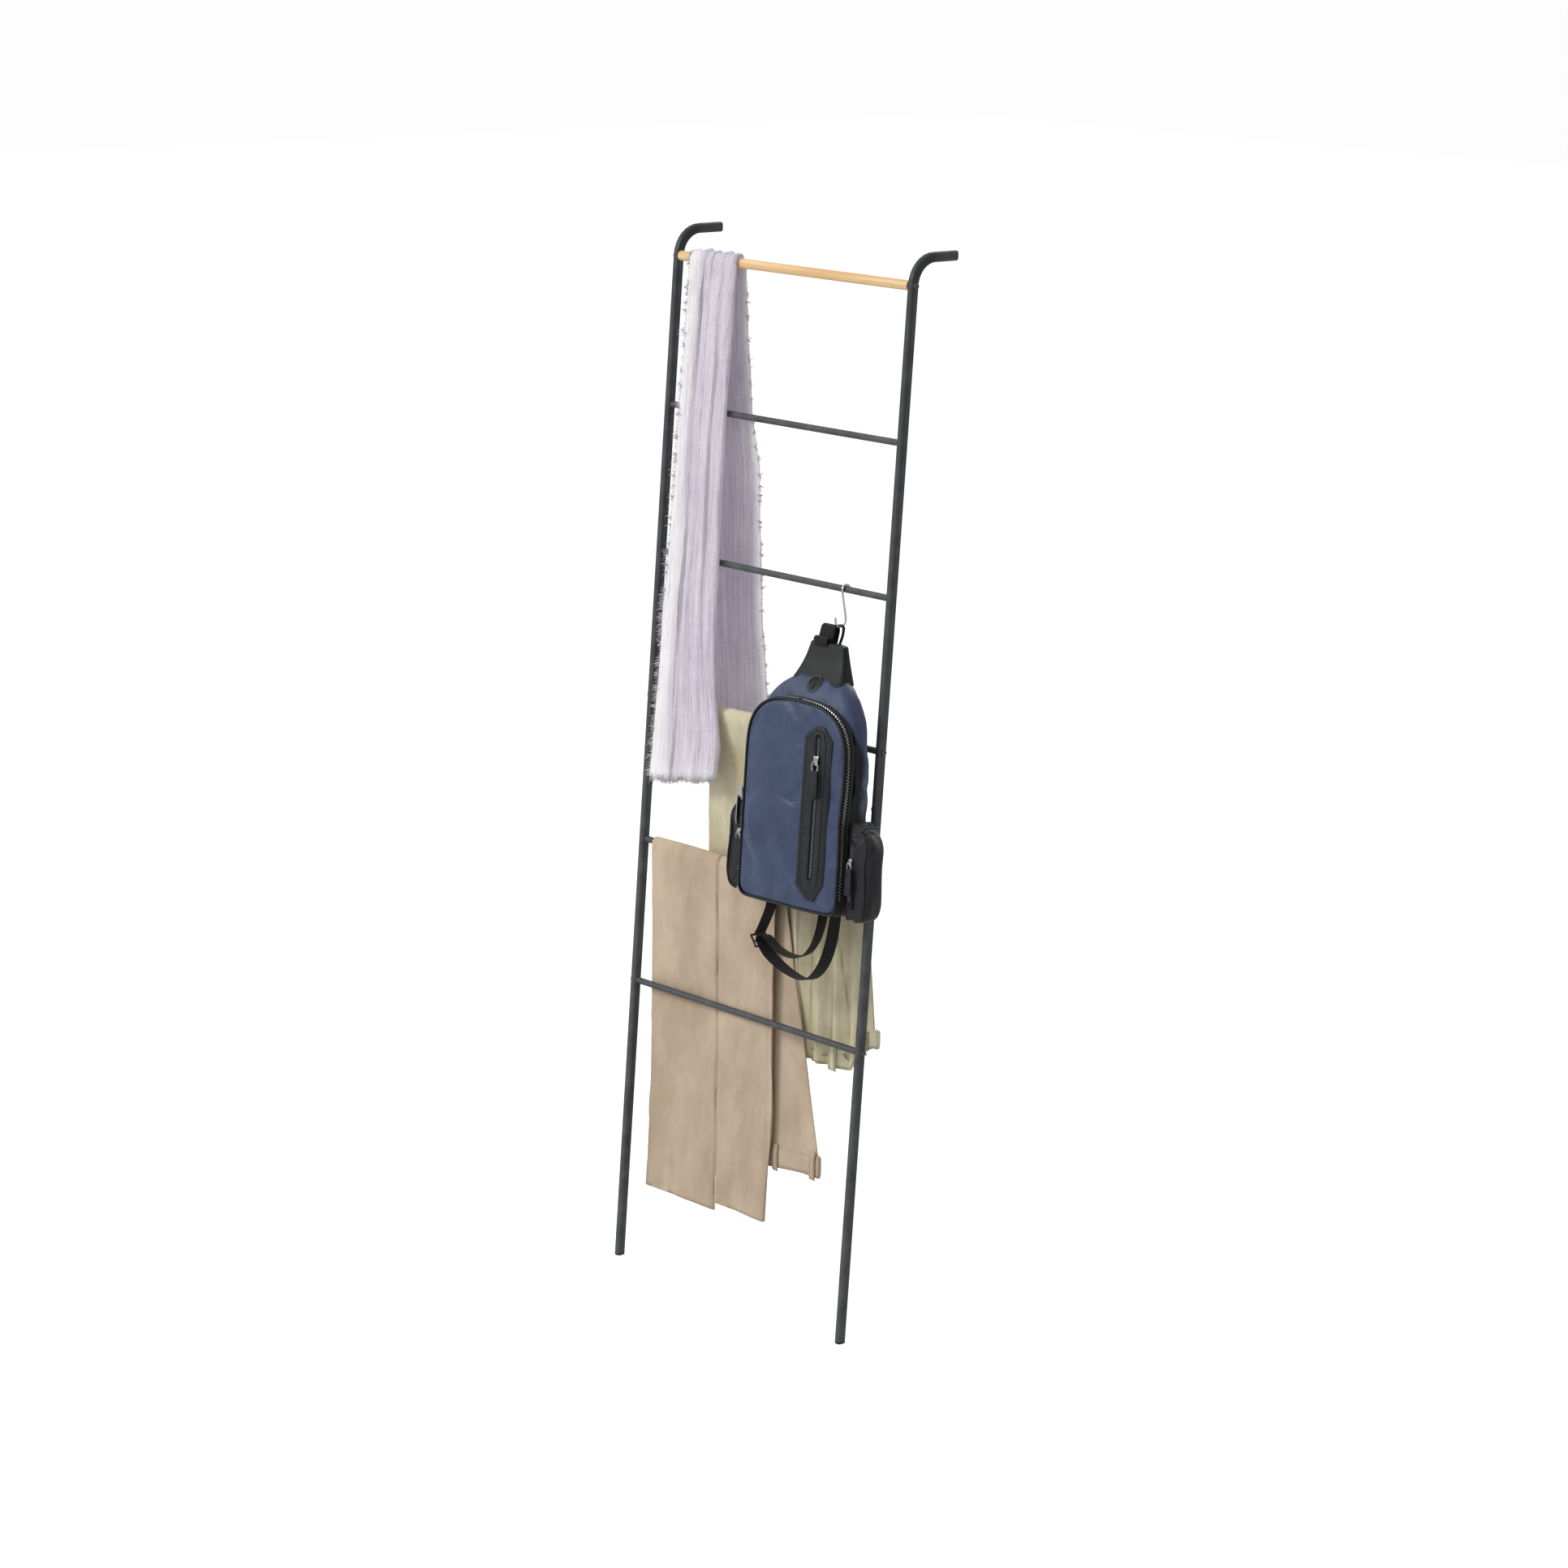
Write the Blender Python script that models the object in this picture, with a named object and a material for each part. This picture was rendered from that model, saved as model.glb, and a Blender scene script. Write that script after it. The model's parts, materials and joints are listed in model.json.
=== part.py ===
"""Leaning ladder rack with a throw, two pairs of trousers and a bag on an S-hook.

Units are metres. X runs along the rungs, +Y points to the wall, +Z is up.
The origin is on the floor, midway between the two feet.
"""
import math
import bpy
import numpy as np
from mathutils import Vector

# ---------------------------------------------------------------- ladder rack
RACK_WIDTH = 0.520
RACK_HEIGHT = 1.600
RACK_DEPTH_TO_TIP = 0.1775      # foot centre to hook tip, along Y
LEAN = math.radians(3.5)
TUBE_W = 0.012                  # rail tube across the rack
TUBE_D = 0.015                  # rail tube front to back
TUBE_CORNER = 0.0045
TUBE_WALL = 0.0012
BEND_R = 0.040                  # centre line radius of the hooked top
BAR_Z = RACK_HEIGHT - 0.0462
RUNG_STEP = RACK_HEIGHT * 0.1390625
BAR_R = 0.0075
RUNG_R = 0.0050
JOINT_Z = RACK_HEIGHT * 0.485   # where upper and lower rail meet
JOINT_BOLT_UP = 0.0256
JOINT_BOLT_DOWN = 0.0260
CONNECTOR_LEN = 0.086
CAP_FLANGE = 0.0028
CAP_PLUG = 0.018
SHANK_R = 0.0025
HEAD_R = 0.0047
HEAD_H = 0.0024
BOLT_GRIP = 0.020
FIT_GAP = 0.0003                # between touching pieces
BORE_GAP = 0.0003

# ---------------------------------------------------------------- soft goods
THROW_T = 0.0070
THROW_FRONT_DROP = 0.7838       # below the bar
THROW_REAR_DROP = 0.7488
GARMENT_T = 0.0046
KHAKI_WAIST_DROP = 0.4863       # below rung 4
KHAKI_HEM_DROP = 0.4513
BEIGE_HEM_DROP = 0.5518         # below rung 5
BEIGE_WAIST_DROP = 0.4518
BAND_H = 0.036
BAND_T = 0.0062
CLOTH_GAP = 0.0008

# ---------------------------------------------------------------- hook and bag
HOOK_X = 0.3058 * RACK_WIDTH
HOOK_WIRE_R = 0.00175
HOOK_LOWER_R = 0.0100
HOOK_DROP = 0.0443              # rung 3 to the centre of the lower loop
BAG_DROP = 0.4538               # rung 3 to the bottom of the bag
REAR_DEPTH = 0.0560
REAR_HALF = 0.1085
FRONT_HALF = 0.1045
FRONT_TOP = 0.303
FRONT_DEPTH = 0.0152
POCKET_OUT = 0.0470
POCKET_TOP = 0.1360
ZIP_U = 0.053
WEB_W = 0.022
WEB_T = 0.0016

TL = math.tan(LEAN)
CL = math.cos(LEAN)
SL = math.sin(LEAN)
RUNG_Z = [BAR_Z - RUNG_STEP * k for k in range(6)]   # bar first, lowest last
THROW_FRONT_Z = BAR_Z - THROW_FRONT_DROP
THROW_REAR_Z = BAR_Z - THROW_REAR_DROP
KHAKI_WAIST_Z = RUNG_Z[3] - KHAKI_WAIST_DROP
KHAKI_HEM_Z = RUNG_Z[3] - KHAKI_HEM_DROP
BEIGE_HEM_Z = RUNG_Z[4] - BEIGE_HEM_DROP
BEIGE_WAIST_Z = RUNG_Z[4] - BEIGE_WAIST_DROP
HOOK_LOWER_Y = RUNG_Z[2] * TL - 0.0100
HOOK_LOWER_Z = RUNG_Z[2] - HOOK_DROP
BAG_X = HOOK_X + 0.002
BAG_Y = RUNG_Z[2] * TL - 0.0395
BAG_Z = RUNG_Z[2] - BAG_DROP
SPREAD = RACK_WIDTH / 0.520     # cloth takes its share of the rack's width

for old in list(bpy.data.objects):
    bpy.data.objects.remove(old, do_unlink=True)
rack_set = bpy.data.collections.new("ladder_rack")
cut_set = bpy.data.collections.new("cutters")
bpy.context.scene.collection.children.link(rack_set)
bpy.context.scene.collection.children.link(cut_set)

materials = {}


def material(name, colour, roughness, metallic=0.0):
    if name not in materials:
        mat = bpy.data.materials.new(name)
        mat.use_nodes = True
        shader = mat.node_tree.nodes["Principled BSDF"]
        shader.inputs["Base Color"].default_value = (*colour, 1.0)
        shader.inputs["Roughness"].default_value = roughness
        shader.inputs["Metallic"].default_value = metallic
        materials[name] = mat
    return materials[name]


BLACK_COAT = ("black_coat", (0.045, 0.047, 0.050), 0.45, 0.3)
BLACK_PLUG = ("black_plug", (0.030, 0.030, 0.032), 0.6)
DARK_BOLT = ("dark_bolt", (0.060, 0.060, 0.065), 0.35, 0.9)
BAR_WOOD = ("bar_wood", (0.72, 0.47, 0.22), 0.5)
ZINC = ("zinc_steel", (0.50, 0.50, 0.52), 0.4, 0.9)
LILAC = ("lilac_gauze", (0.56, 0.52, 0.62), 0.9)
KHAKI = ("khaki_twill", (0.55, 0.50, 0.36), 0.9)
BEIGE = ("beige_twill", (0.56, 0.46, 0.36), 0.9)
CHROME = ("polished_wire", (0.75, 0.75, 0.77), 0.15, 1.0)
NAVY = ("navy_nylon", (0.050, 0.080, 0.150), 0.6)
INK = ("ink_nylon", (0.022, 0.022, 0.030), 0.7)
HIDE = ("black_leather", (0.035, 0.037, 0.040), 0.5)
WEBBING = ("black_webbing", (0.016, 0.016, 0.018), 0.85)
COIL = ("zip_coil", (0.030, 0.030, 0.034), 0.5)
SLIDER = ("zip_metal", (0.42, 0.42, 0.43), 0.3, 1.0)
BUCKLE = ("buckle_plastic", (0.020, 0.020, 0.022), 0.4)


def solid(name, verts, faces, kind, smooth=True, where=None):
    mesh = bpy.data.meshes.new(name)
    mesh.from_pydata([tuple(v) for v in verts], [], faces)
    mesh.validate()
    mesh.update()
    obj = bpy.data.objects.new(name, mesh)
    (where or rack_set).objects.link(obj)
    if kind:
        mesh.materials.append(material(*kind))
    if smooth:
        for poly in mesh.polygons:
            poly.use_smooth = len(poly.vertices) == 4
    return obj


def loft(rings, caps=True, closed=False):
    """Vertices and outward faces through equal rings of points."""
    count = len(rings[0])
    verts = [p for ring in rings for p in ring]
    faces = []
    last = len(rings) if closed else len(rings) - 1
    for i in range(last):
        a = i * count
        b = ((i + 1) % len(rings)) * count
        for j in range(count):
            k = (j + 1) % count
            faces.append((a + j, a + k, b + k, b + j))
    if caps and not closed:
        faces.append(tuple(reversed(range(count))))
        top = (len(rings) - 1) * count
        faces.append(tuple(range(top, top + count)))
    return verts, outward(verts, faces)


def outward(verts, faces):
    """Flip the whole shell if its signed volume is negative."""
    v = np.array([tuple(p) for p in verts], dtype=float)
    vol = 0.0
    for f in faces:
        for i in range(1, len(f) - 1):
            vol += np.dot(v[f[0]], np.cross(v[f[i]], v[f[i + 1]]))
    if vol < 0:
        faces = [tuple(reversed(f)) for f in faces]
    return faces


def join_shells(shells):
    """Several closed shells as one vertex and face list."""
    verts, faces = [], []
    for v, f in shells:
        shift = len(verts)
        verts += list(v)
        faces += [tuple(i + shift for i in face) for face in f]
    return verts, faces


def rounded_rect(w, d, r, steps=3):
    """Counter-clockwise outline, w across and d deep, centred."""
    pts = []
    for cx, cy, a0 in ((w / 2 - r, d / 2 - r, 0), (-w / 2 + r, d / 2 - r, 90),
                       (-w / 2 + r, -d / 2 + r, 180), (w / 2 - r, -d / 2 + r, 270)):
        for k in range(steps + 1):
            a = math.radians(a0 + 90 * k / steps)
            pts.append((cx + r * math.cos(a), cy + r * math.sin(a)))
    return pts


def rod(centre, axis, radius, length, sides=16):
    """Closed cylinder shell along a unit axis."""
    axis = Vector(axis).normalized()
    side = Vector((0, 0, 1)) if abs(axis.z) < 0.9 else Vector((1, 0, 0))
    u = axis.cross(side).normalized()
    w = axis.cross(u).normalized()
    rings = []
    for s in (-0.5, 0.5):
        base = Vector(centre) + axis * length * s
        rings.append([base + radius * (math.cos(t) * u + math.sin(t) * w)
                      for t in (2 * math.pi * k / sides for k in range(sides))])
    return loft(rings)


def box(lo, hi):
    (x0, y0, z0), (x1, y1, z1) = lo, hi
    rings = [[(x0, y0, z), (x1, y0, z), (x1, y1, z), (x0, y1, z)] for z in (z0, z1)]
    return loft(rings)


def wire(points, radius, sides=10):
    """Round wire along a polyline, with rounded ends."""
    pts = [Vector(p) for p in points]
    tangents = []
    for i in range(len(pts)):
        a = pts[max(i - 1, 0)]
        b = pts[min(i + 1, len(pts) - 1)]
        tangents.append((b - a).normalized())
    u = tangents[0].orthogonal().normalized()
    rings = []
    for p, t in zip(pts, tangents):
        u = (u - t * u.dot(t)).normalized()
        w = t.cross(u)
        rings.append([p + radius * (math.cos(a) * u + math.sin(a) * w)
                      for a in (2 * math.pi * k / sides for k in range(sides))])
    return loft(rings)


def cut(target, shells, name):
    """Exact Boolean cut with closed shells."""
    verts, faces = join_shells(shells)
    cutter = solid(name, verts, faces, None, smooth=False, where=cut_set)
    cutter.hide_render = True
    cutter.display_type = "WIRE"
    mod = target.modifiers.new("holes", "BOOLEAN")
    mod.operation = "DIFFERENCE"
    mod.solver = "EXACT"
    mod.object = cutter


def tilt(u, v, w):
    """Bag coordinates (across, depth, up) to world."""
    return (BAG_X + u, BAG_Y + v * CL + w * SL, BAG_Z - v * SL + w * CL)


def tilt_all(points):
    return [tilt(*p) for p in points]


# ---------------------------------------------------------------- rails
hook_mid_z = RACK_HEIGHT - TUBE_D / 2
bend_cz = hook_mid_z - BEND_R
bend_start_z = bend_cz + BEND_R * SL
bend_cy = bend_start_z * TL + BEND_R * CL
rail_x = RACK_WIDTH / 2 - TUBE_W / 2
tip_y = RACK_DEPTH_TO_TIP - CAP_FLANGE - FIT_GAP


def rail_frames(z_low, z_high):
    """(point, cross-section up vector) pairs on the straight rail."""
    lean_up = Vector((0, SL, CL))
    return [(Vector((0, z * TL, z)), lean_up) for z in (z_low, z_high)]


def bend_frames():
    out = []
    for k in range(0, 9):
        a = LEAN + (math.pi / 2 - LEAN) * k / 8
        p = Vector((0, bend_cy - BEND_R * math.cos(a), bend_cz + BEND_R * math.sin(a)))
        out.append((p, Vector((0, math.sin(a), math.cos(a)))))
    out.append((Vector((0, tip_y, hook_mid_z)), Vector((0, 1, 0))))
    return out


def tube_shell(x, frames, flat_foot=False, outline=None, inner=None):
    """Hollow tube along frames, open at both ends."""
    outline = outline or rounded_rect(TUBE_W, TUBE_D, TUBE_CORNER)
    inner = inner or rounded_rect(TUBE_W - 2 * TUBE_WALL, TUBE_D - 2 * TUBE_WALL,
                                  TUBE_CORNER - TUBE_WALL)
    outer_rings, inner_rings = [], []
    for i, (p, up) in enumerate(frames):
        back = Vector((1, 0, 0)).cross(up) * -1.0
        if flat_foot and i == 0:
            back = Vector((0, 1, 0))
        for outl, rings in ((outline, outer_rings), (inner, inner_rings)):
            rings.append([p + Vector((x + a, 0, 0)) + back * b for a, b in outl])
    count = len(outline)
    rings = outer_rings + list(reversed(inner_rings))
    return loft(rings, closed=True)


def solid_bar(x, frames, w, d, r):
    rings = []
    for p, up in frames:
        back = Vector((1, 0, 0)).cross(up) * -1.0
        rings.append([p + Vector((x + a, 0, 0)) + back * b for a, b in rounded_rect(w, d, r)])
    return loft(rings)


bolted = [0, 3, 5]               # bar, fourth and lowest cross piece are bolted
bolt_names = {0: "bar", 3: "rung_4", 5: "rung_6"}

for side, sign in (("left", -1), ("right", 1)):
    x = sign * rail_x
    inner_face = sign * (RACK_WIDTH / 2 - TUBE_W)
    outer_face = sign * RACK_WIDTH / 2
    upper = solid(side + "_upper_rail",
                  *tube_shell(x, rail_frames(JOINT_Z + FIT_GAP, bend_start_z - 0.002)
                              + bend_frames()), BLACK_COAT)
    lower = solid(side + "_lower_rail",
                  *tube_shell(x, rail_frames(CAP_FLANGE + FIT_GAP, JOINT_Z - FIT_GAP / 2),
                              flat_foot=True), BLACK_COAT)
    hole_r = SHANK_R + BORE_GAP
    upper_holes, lower_holes = [], []
    for k in bolted:
        z = RUNG_Z[k]
        shell = rod((x, z * TL, z), (1, 0, 0), hole_r, TUBE_W + 0.006)
        (upper_holes if z > JOINT_Z else lower_holes).append(shell)
        # shank runs from the head on the outer face into the end of the cross piece
        head_mid = outer_face + sign * (FIT_GAP + HEAD_H / 2)
        rings = []
        for off, rad in ((0.0, HEAD_R), (0.0011, HEAD_R), (0.0019, 0.0040),
                         (HEAD_H, 0.0024)):
            px = outer_face + sign * (FIT_GAP + off)
            rings.append([(px, z * TL + rad * math.cos(t), z + rad * math.sin(t))
                          for t in (2 * math.pi * n / 14 for n in range(14))])
        shank_out = []
        shank_len = TUBE_W + BOLT_GRIP
        for off in (0.0, -shank_len):
            px = outer_face + sign * (FIT_GAP + off)
            shank_out.append([(px, z * TL + SHANK_R * math.cos(t), z + SHANK_R * math.sin(t))
                              for t in (2 * math.pi * n / 14 for n in range(14))])
        shell = loft([shank_out[1], shank_out[0]] + rings)
        solid("%s_%s_bolt" % (side, bolt_names[k]), *shell, DARK_BOLT)
    # joint bolts enter from the inner face
    connector_holes = []
    for z, bucket, level in ((JOINT_Z + JOINT_BOLT_UP, upper_holes, "upper"),
                             (JOINT_Z - JOINT_BOLT_DOWN, lower_holes, "lower")):
        bucket.append(rod((inner_face + sign * 0.001, z * TL, z), (1, 0, 0), hole_r, 0.006))
        connector_holes.append(rod((x, z * TL, z), (1, 0, 0), hole_r, TUBE_W))
        rings = []
        for off, rad in ((0.0, HEAD_R), (0.0011, HEAD_R), (0.0019, 0.0040),
                         (HEAD_H, 0.0024)):
            px = inner_face - sign * (FIT_GAP + off)
            rings.append([(px, z * TL + rad * math.cos(t), z + rad * math.sin(t))
                          for t in (2 * math.pi * n / 14 for n in range(14))])
        shank = [[(px, z * TL + SHANK_R * math.cos(t), z + SHANK_R * math.sin(t))
                  for t in (2 * math.pi * n / 14 for n in range(14))]
                 for px in (inner_face + sign * (TUBE_W - TUBE_WALL - 0.0012),
                            inner_face - sign * FIT_GAP)]
        solid("%s_joint_bolt_%s" % (side, level), *loft(shank + rings), DARK_BOLT)
    cut(upper, upper_holes, side + "_upper_holes")
    cut(lower, lower_holes, side + "_lower_holes")
    plug_w = TUBE_W - 2 * TUBE_WALL - 2 * FIT_GAP
    plug_d = TUBE_D - 2 * TUBE_WALL - 2 * FIT_GAP
    plug_r = TUBE_CORNER - TUBE_WALL - FIT_GAP
    connector = solid(side + "_rail_connector",
                      *solid_bar(x, rail_frames(JOINT_Z - CONNECTOR_LEN / 2,
                                                JOINT_Z + CONNECTOR_LEN / 2),
                                 plug_w, plug_d, plug_r), ZINC)
    cut(connector, connector_holes, side + "_connector_holes")
    # foot cap: flange on the floor and a plug inside the tube
    rings = []
    for z, w, d, r in ((0.0, TUBE_W - 0.0012, TUBE_D - 0.0012, TUBE_CORNER - 0.0006),
                       (0.0006, TUBE_W, TUBE_D, TUBE_CORNER),
                       (CAP_FLANGE, TUBE_W, TUBE_D, TUBE_CORNER),
                       (CAP_FLANGE, plug_w, plug_d, plug_r),
                       (CAP_FLANGE + CAP_PLUG, plug_w, plug_d, plug_r)):
        rings.append([(x + a, z * TL + b, z) for a, b in rounded_rect(w, d, r)])
    solid(side + "_foot_cap", *loft(rings), BLACK_PLUG)
    # hook cap: flange towards the wall and a plug inside the tube
    rings = []
    end = RACK_DEPTH_TO_TIP
    for y, w, d, r in ((end, TUBE_W - 0.0012, TUBE_D - 0.0012, TUBE_CORNER - 0.0006),
                       (end - 0.0006, TUBE_W, TUBE_D, TUBE_CORNER),
                       (end - CAP_FLANGE, TUBE_W, TUBE_D, TUBE_CORNER),
                       (end - CAP_FLANGE, plug_w, plug_d, plug_r),
                       (end - CAP_FLANGE - CAP_PLUG, plug_w, plug_d, plug_r)):
        rings.append([(x + a, y, hook_mid_z + b) for a, b in rounded_rect(w, d, r)])
    solid(side + "_wall_cap", *loft(rings), BLACK_PLUG)

# ---------------------------------------------------------------- bar and rungs
cross_len = RACK_WIDTH - 2 * TUBE_W - 2 * FIT_GAP
cross_names = ["wooden_bar", "rung_2", "rung_3", "rung_4", "rung_5", "rung_6"]
for k, name in enumerate(cross_names):
    z = RUNG_Z[k]
    radius = BAR_R if k == 0 else RUNG_R
    piece = solid(name, *rod((0, z * TL, z), (1, 0, 0), radius, cross_len, 20 if k == 0 else 16),
                  BAR_WOOD if k == 0 else BLACK_COAT)
    if k in bolted:
        depth = BOLT_GRIP + 0.002
        bores = [rod((s * (cross_len / 2 - depth / 2 + 0.001), z * TL, z), (1, 0, 0),
                     SHANK_R + BORE_GAP, depth + 0.002, 14) for s in (-1, 1)]
        cut(piece, bores, name + "_bores")

# ---------------------------------------------------------------- draped cloth


def offset_path(path):
    """Unit normals of a YZ path, pointing to the left of travel."""
    normals = []
    for i in range(len(path)):
        a = Vector(path[max(i - 1, 0)])
        b = Vector(path[min(i + 1, len(path) - 1)])
        t = (b - a).normalized()
        normals.append(Vector((-t.y, t.x)))
    return normals


def draped(rows, thick):
    """Closed slab along rows of (y, z, x_left, x_right); y, z is the inner surface."""
    path = [(r[0], r[1]) for r in rows]
    normals = offset_path(path)
    rings = []
    for (y, z, x0, x1), n in zip(rows, normals):
        x0, x1 = x0 * SPREAD, x1 * SPREAD
        yo, zo = y + n.x * thick, z + n.y * thick
        rings.append([(x0, y, z), (x1, y, z), (x1, yo, zo), (x0, yo, zo)])
    return loft(rings)


def over_rod(cy, cz, radius, x0, x1, steps=8, a0=180.0, a1=0.0):
    """Rows over the top of a rod from its front to its back."""
    rows = []
    for k in range(steps + 1):
        a = math.radians(a0 + (a1 - a0) * k / steps)
        rows.append((cy + radius * math.cos(a), cz + radius * math.sin(a), x0, x1))
    return rows


def front_line(z, clear):
    return z * TL - clear


# Throw: over the wooden bar; front part lies on the rungs, rear part hangs plumb.
bar_y = BAR_Z * TL
r_in = BAR_R + CLOTH_GAP
lay = RUNG_R + CLOTH_GAP
rows = [(front_line(THROW_FRONT_Z, 0.0125), THROW_FRONT_Z, -0.2297, -0.0740),
        (front_line(BAR_Z - 0.7338, 0.0130), BAR_Z - 0.7338, -0.2285, -0.0720),
        (front_line(BAR_Z - 0.6538, 0.0130), BAR_Z - 0.6538, -0.2270, -0.0900),
        (front_line(BAR_Z - 0.5538, 0.0110), BAR_Z - 0.5538, -0.2250, -0.1000),
        (front_line(RUNG_Z[2], lay + 0.0004), RUNG_Z[2], -0.2230, -0.1080),
        (front_line(RUNG_Z[1], lay + 0.0004), RUNG_Z[1], -0.2190, -0.1125),
        (front_line(BAR_Z - 0.1038, lay + 0.0010), BAR_Z - 0.1038, -0.2160, -0.1115),
        (bar_y - r_in - 0.0003, BAR_Z - 0.02, -0.2150, -0.1100)]
rows += over_rod(bar_y, BAR_Z, r_in, -0.2150, -0.1100, 8)
rows += [(bar_y + r_in + 0.0003, BAR_Z - 0.02, -0.2120, -0.1130),
         (bar_y + r_in + 0.0006, BAR_Z - 0.1538, -0.2080, -0.1030),
         (bar_y + r_in + 0.0006, BAR_Z - 0.3038, -0.2040, -0.0770),
         (bar_y + r_in + 0.0006, BAR_Z - 0.5038, -0.2000, -0.0620),
         (bar_y + r_in + 0.0006, THROW_REAR_Z, -0.1960, -0.0470)]
solid("throw_cloth", *draped(rows, THROW_T), LILAC, smooth=False)


def band_shell(y_in, z_low, x0, x1, tilt_x=0.0):
    """Flat waistband: bottom edge may rise across X by tilt_x."""
    x0, x1 = x0 * SPREAD, x1 * SPREAD
    rings = []
    for dz in (0.0, BAND_H):
        rings.append([(x0, y_in, z_low + dz), (x1, y_in, z_low + dz + tilt_x),
                      (x1, y_in + BAND_T, z_low + dz + tilt_x), (x0, y_in + BAND_T, z_low + dz)])
    return loft(rings)


def add_loops(band, xs, z_low, x0, x1, tilt_x, y_face, face_sign):
    """Belt loops sewn on the outer face of a waistband, joined to it."""
    shells = []
    for x in xs:
        z = z_low + tilt_x * (x - x0) / (x1 - x0) - 0.003
        x = x * SPREAD
        y0 = y_face - face_sign * 0.0010
        y1 = y_face + face_sign * 0.0016
        lo, hi = min(y0, y1), max(y0, y1)
        shells.append(box((x - 0.006, lo, z), (x + 0.006, hi, z + BAND_H + 0.0042)))
    verts, faces = join_shells(shells)
    loops = solid(band.name + "_loops", verts, faces, None, smooth=False, where=cut_set)
    loops.hide_render = True
    loops.display_type = "WIRE"
    mod = band.modifiers.new("loops", "BOOLEAN")
    mod.operation = "UNION"
    mod.solver = "EXACT"
    mod.object = loops


# Khaki trousers: over rung 4, waist on the near side, legs on the wall side.
y4, z4 = RUNG_Z[3] * TL, RUNG_Z[3]
k_in = RUNG_R + CLOTH_GAP
front_y = RUNG_Z[4] * TL + RUNG_R + 0.0139   # inner surface of the near half, low down
far_y = max(y4 + k_in + 0.0006, front_y + 0.0011)
k_splits = {"left": (lambda z: -0.127 + 0.010 * (z4 - z) / 0.45, lambda z: 0.055 + 0.045 * (z4 - z) / 0.45),
            "right": (lambda z: 0.0556 + 0.045 * (z4 - z) / 0.45,
                      lambda z: 0.205 + 0.058 * max(0.0, (z4 - z)) / 0.45)}
waist_top = KHAKI_WAIST_Z + BAND_H + 0.006
for side, (x_left, x_right) in k_splits.items():
    rows = []
    for z in (waist_top, z4 - 0.386, z4 - 0.286, z4 - 0.186, z4 - 0.086):
        rows.append((front_y, z, x_left(z), x_right(z)))
    z = z4 - 0.031
    rows.append((y4 - k_in + 0.0044, z, x_left(z), x_right(z)))
    rows += over_rod(y4, z4, k_in, x_left(z4), x_right(z4), 8)
    for z in (z4 - 0.036, z4 - 0.186, z4 - 0.336, KHAKI_HEM_Z):
        out = far_y
        rows.append((out, z, x_left(z4) + 0.004, x_right(z4) - 0.004 - 0.02 * (z4 - z)))
    solid("khaki_%s_leg" % side, *draped(rows, GARMENT_T), KHAKI, smooth=False)
k_x0, k_x1, k_tilt = k_splits["left"][0](z4 - 0.466), 0.262, 0.010
k_band_y = front_y - BAND_T
band = solid("khaki_waistband", *band_shell(k_band_y, KHAKI_WAIST_Z - 0.004, k_x0, k_x1, k_tilt),
             KHAKI, smooth=False)
add_loops(band, (-0.07, 0.03, 0.118, 0.172, 0.235), KHAKI_WAIST_Z - 0.004, k_x0, k_x1, k_tilt,
          k_band_y, -1)

# Beige trousers: over rung 5, legs on the near side, waist on the wall side.
y5, z5 = RUNG_Z[4] * TL, RUNG_Z[4]
b_near = RUNG_Z[5] * TL + 0.0106     # inner surface of the near half, below the rung
b_splits = {"left": (-0.2260, -0.0712), "right": (-0.0706, 0.0540)}
b_waist = {"left": (lambda z: -0.222 - 0.010 * (z5 - z) / 0.45,
                    lambda z: -0.0712 + 0.040 * (z5 - z) / 0.45),
           "right": (lambda z: -0.0706 + 0.040 * (z5 - z) / 0.45,
                     lambda z: 0.056 + 0.098 * (z5 - z) / 0.45)}
b_band_low = BEIGE_WAIST_Z - 0.004
for side in ("left", "right"):
    x0, x1 = b_splits[side]
    hem = BEIGE_HEM_Z + (0.004 if side == "right" else -0.003)
    rows = [(b_near + 0.0006, hem, x0 - (0.006 if side == "left" else 0), x1),
            (b_near + 0.0004, z5 - 0.364, x0, x1), (b_near, RUNG_Z[5], x0, x1),
            (b_near - 0.0010, z5 - 0.104, x0, x1),
            (y5 - k_in - 0.0002, z5 - 0.024, x0, x1 + (0.006 if side == "right" else 0))]
    if side == "right":
        x1 = 0.060
    rows += over_rod(y5, z5, k_in, x0, x1, 8)
    waist_left, waist_right = b_waist[side]
    for z in (z5 - 0.024, z5 - 0.114, z5 - 0.214, z5 - 0.314, BEIGE_WAIST_Z + BAND_H):
        rows.append((y5 + k_in + 0.0002, z, waist_left(z), waist_right(z)))
    solid("beige_%s_leg" % side, *draped(rows, GARMENT_T), BEIGE, smooth=False)
b_x0, b_x1, b_tilt = b_waist["left"][0](z5 - 0.424), b_waist["right"][1](z5 - 0.424), 0.0
b_band_y = y5 + k_in + 0.0002
band = solid("beige_waistband", *band_shell(b_band_y - 0.0003, b_band_low - 0.0004, b_x0, b_x1,
                                            b_tilt), BEIGE, smooth=False)
add_loops(band, (-0.17, -0.05, 0.055, 0.137), b_band_low - 0.0004, b_x0, b_x1, b_tilt,
          b_band_y - 0.0003, -1)

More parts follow.
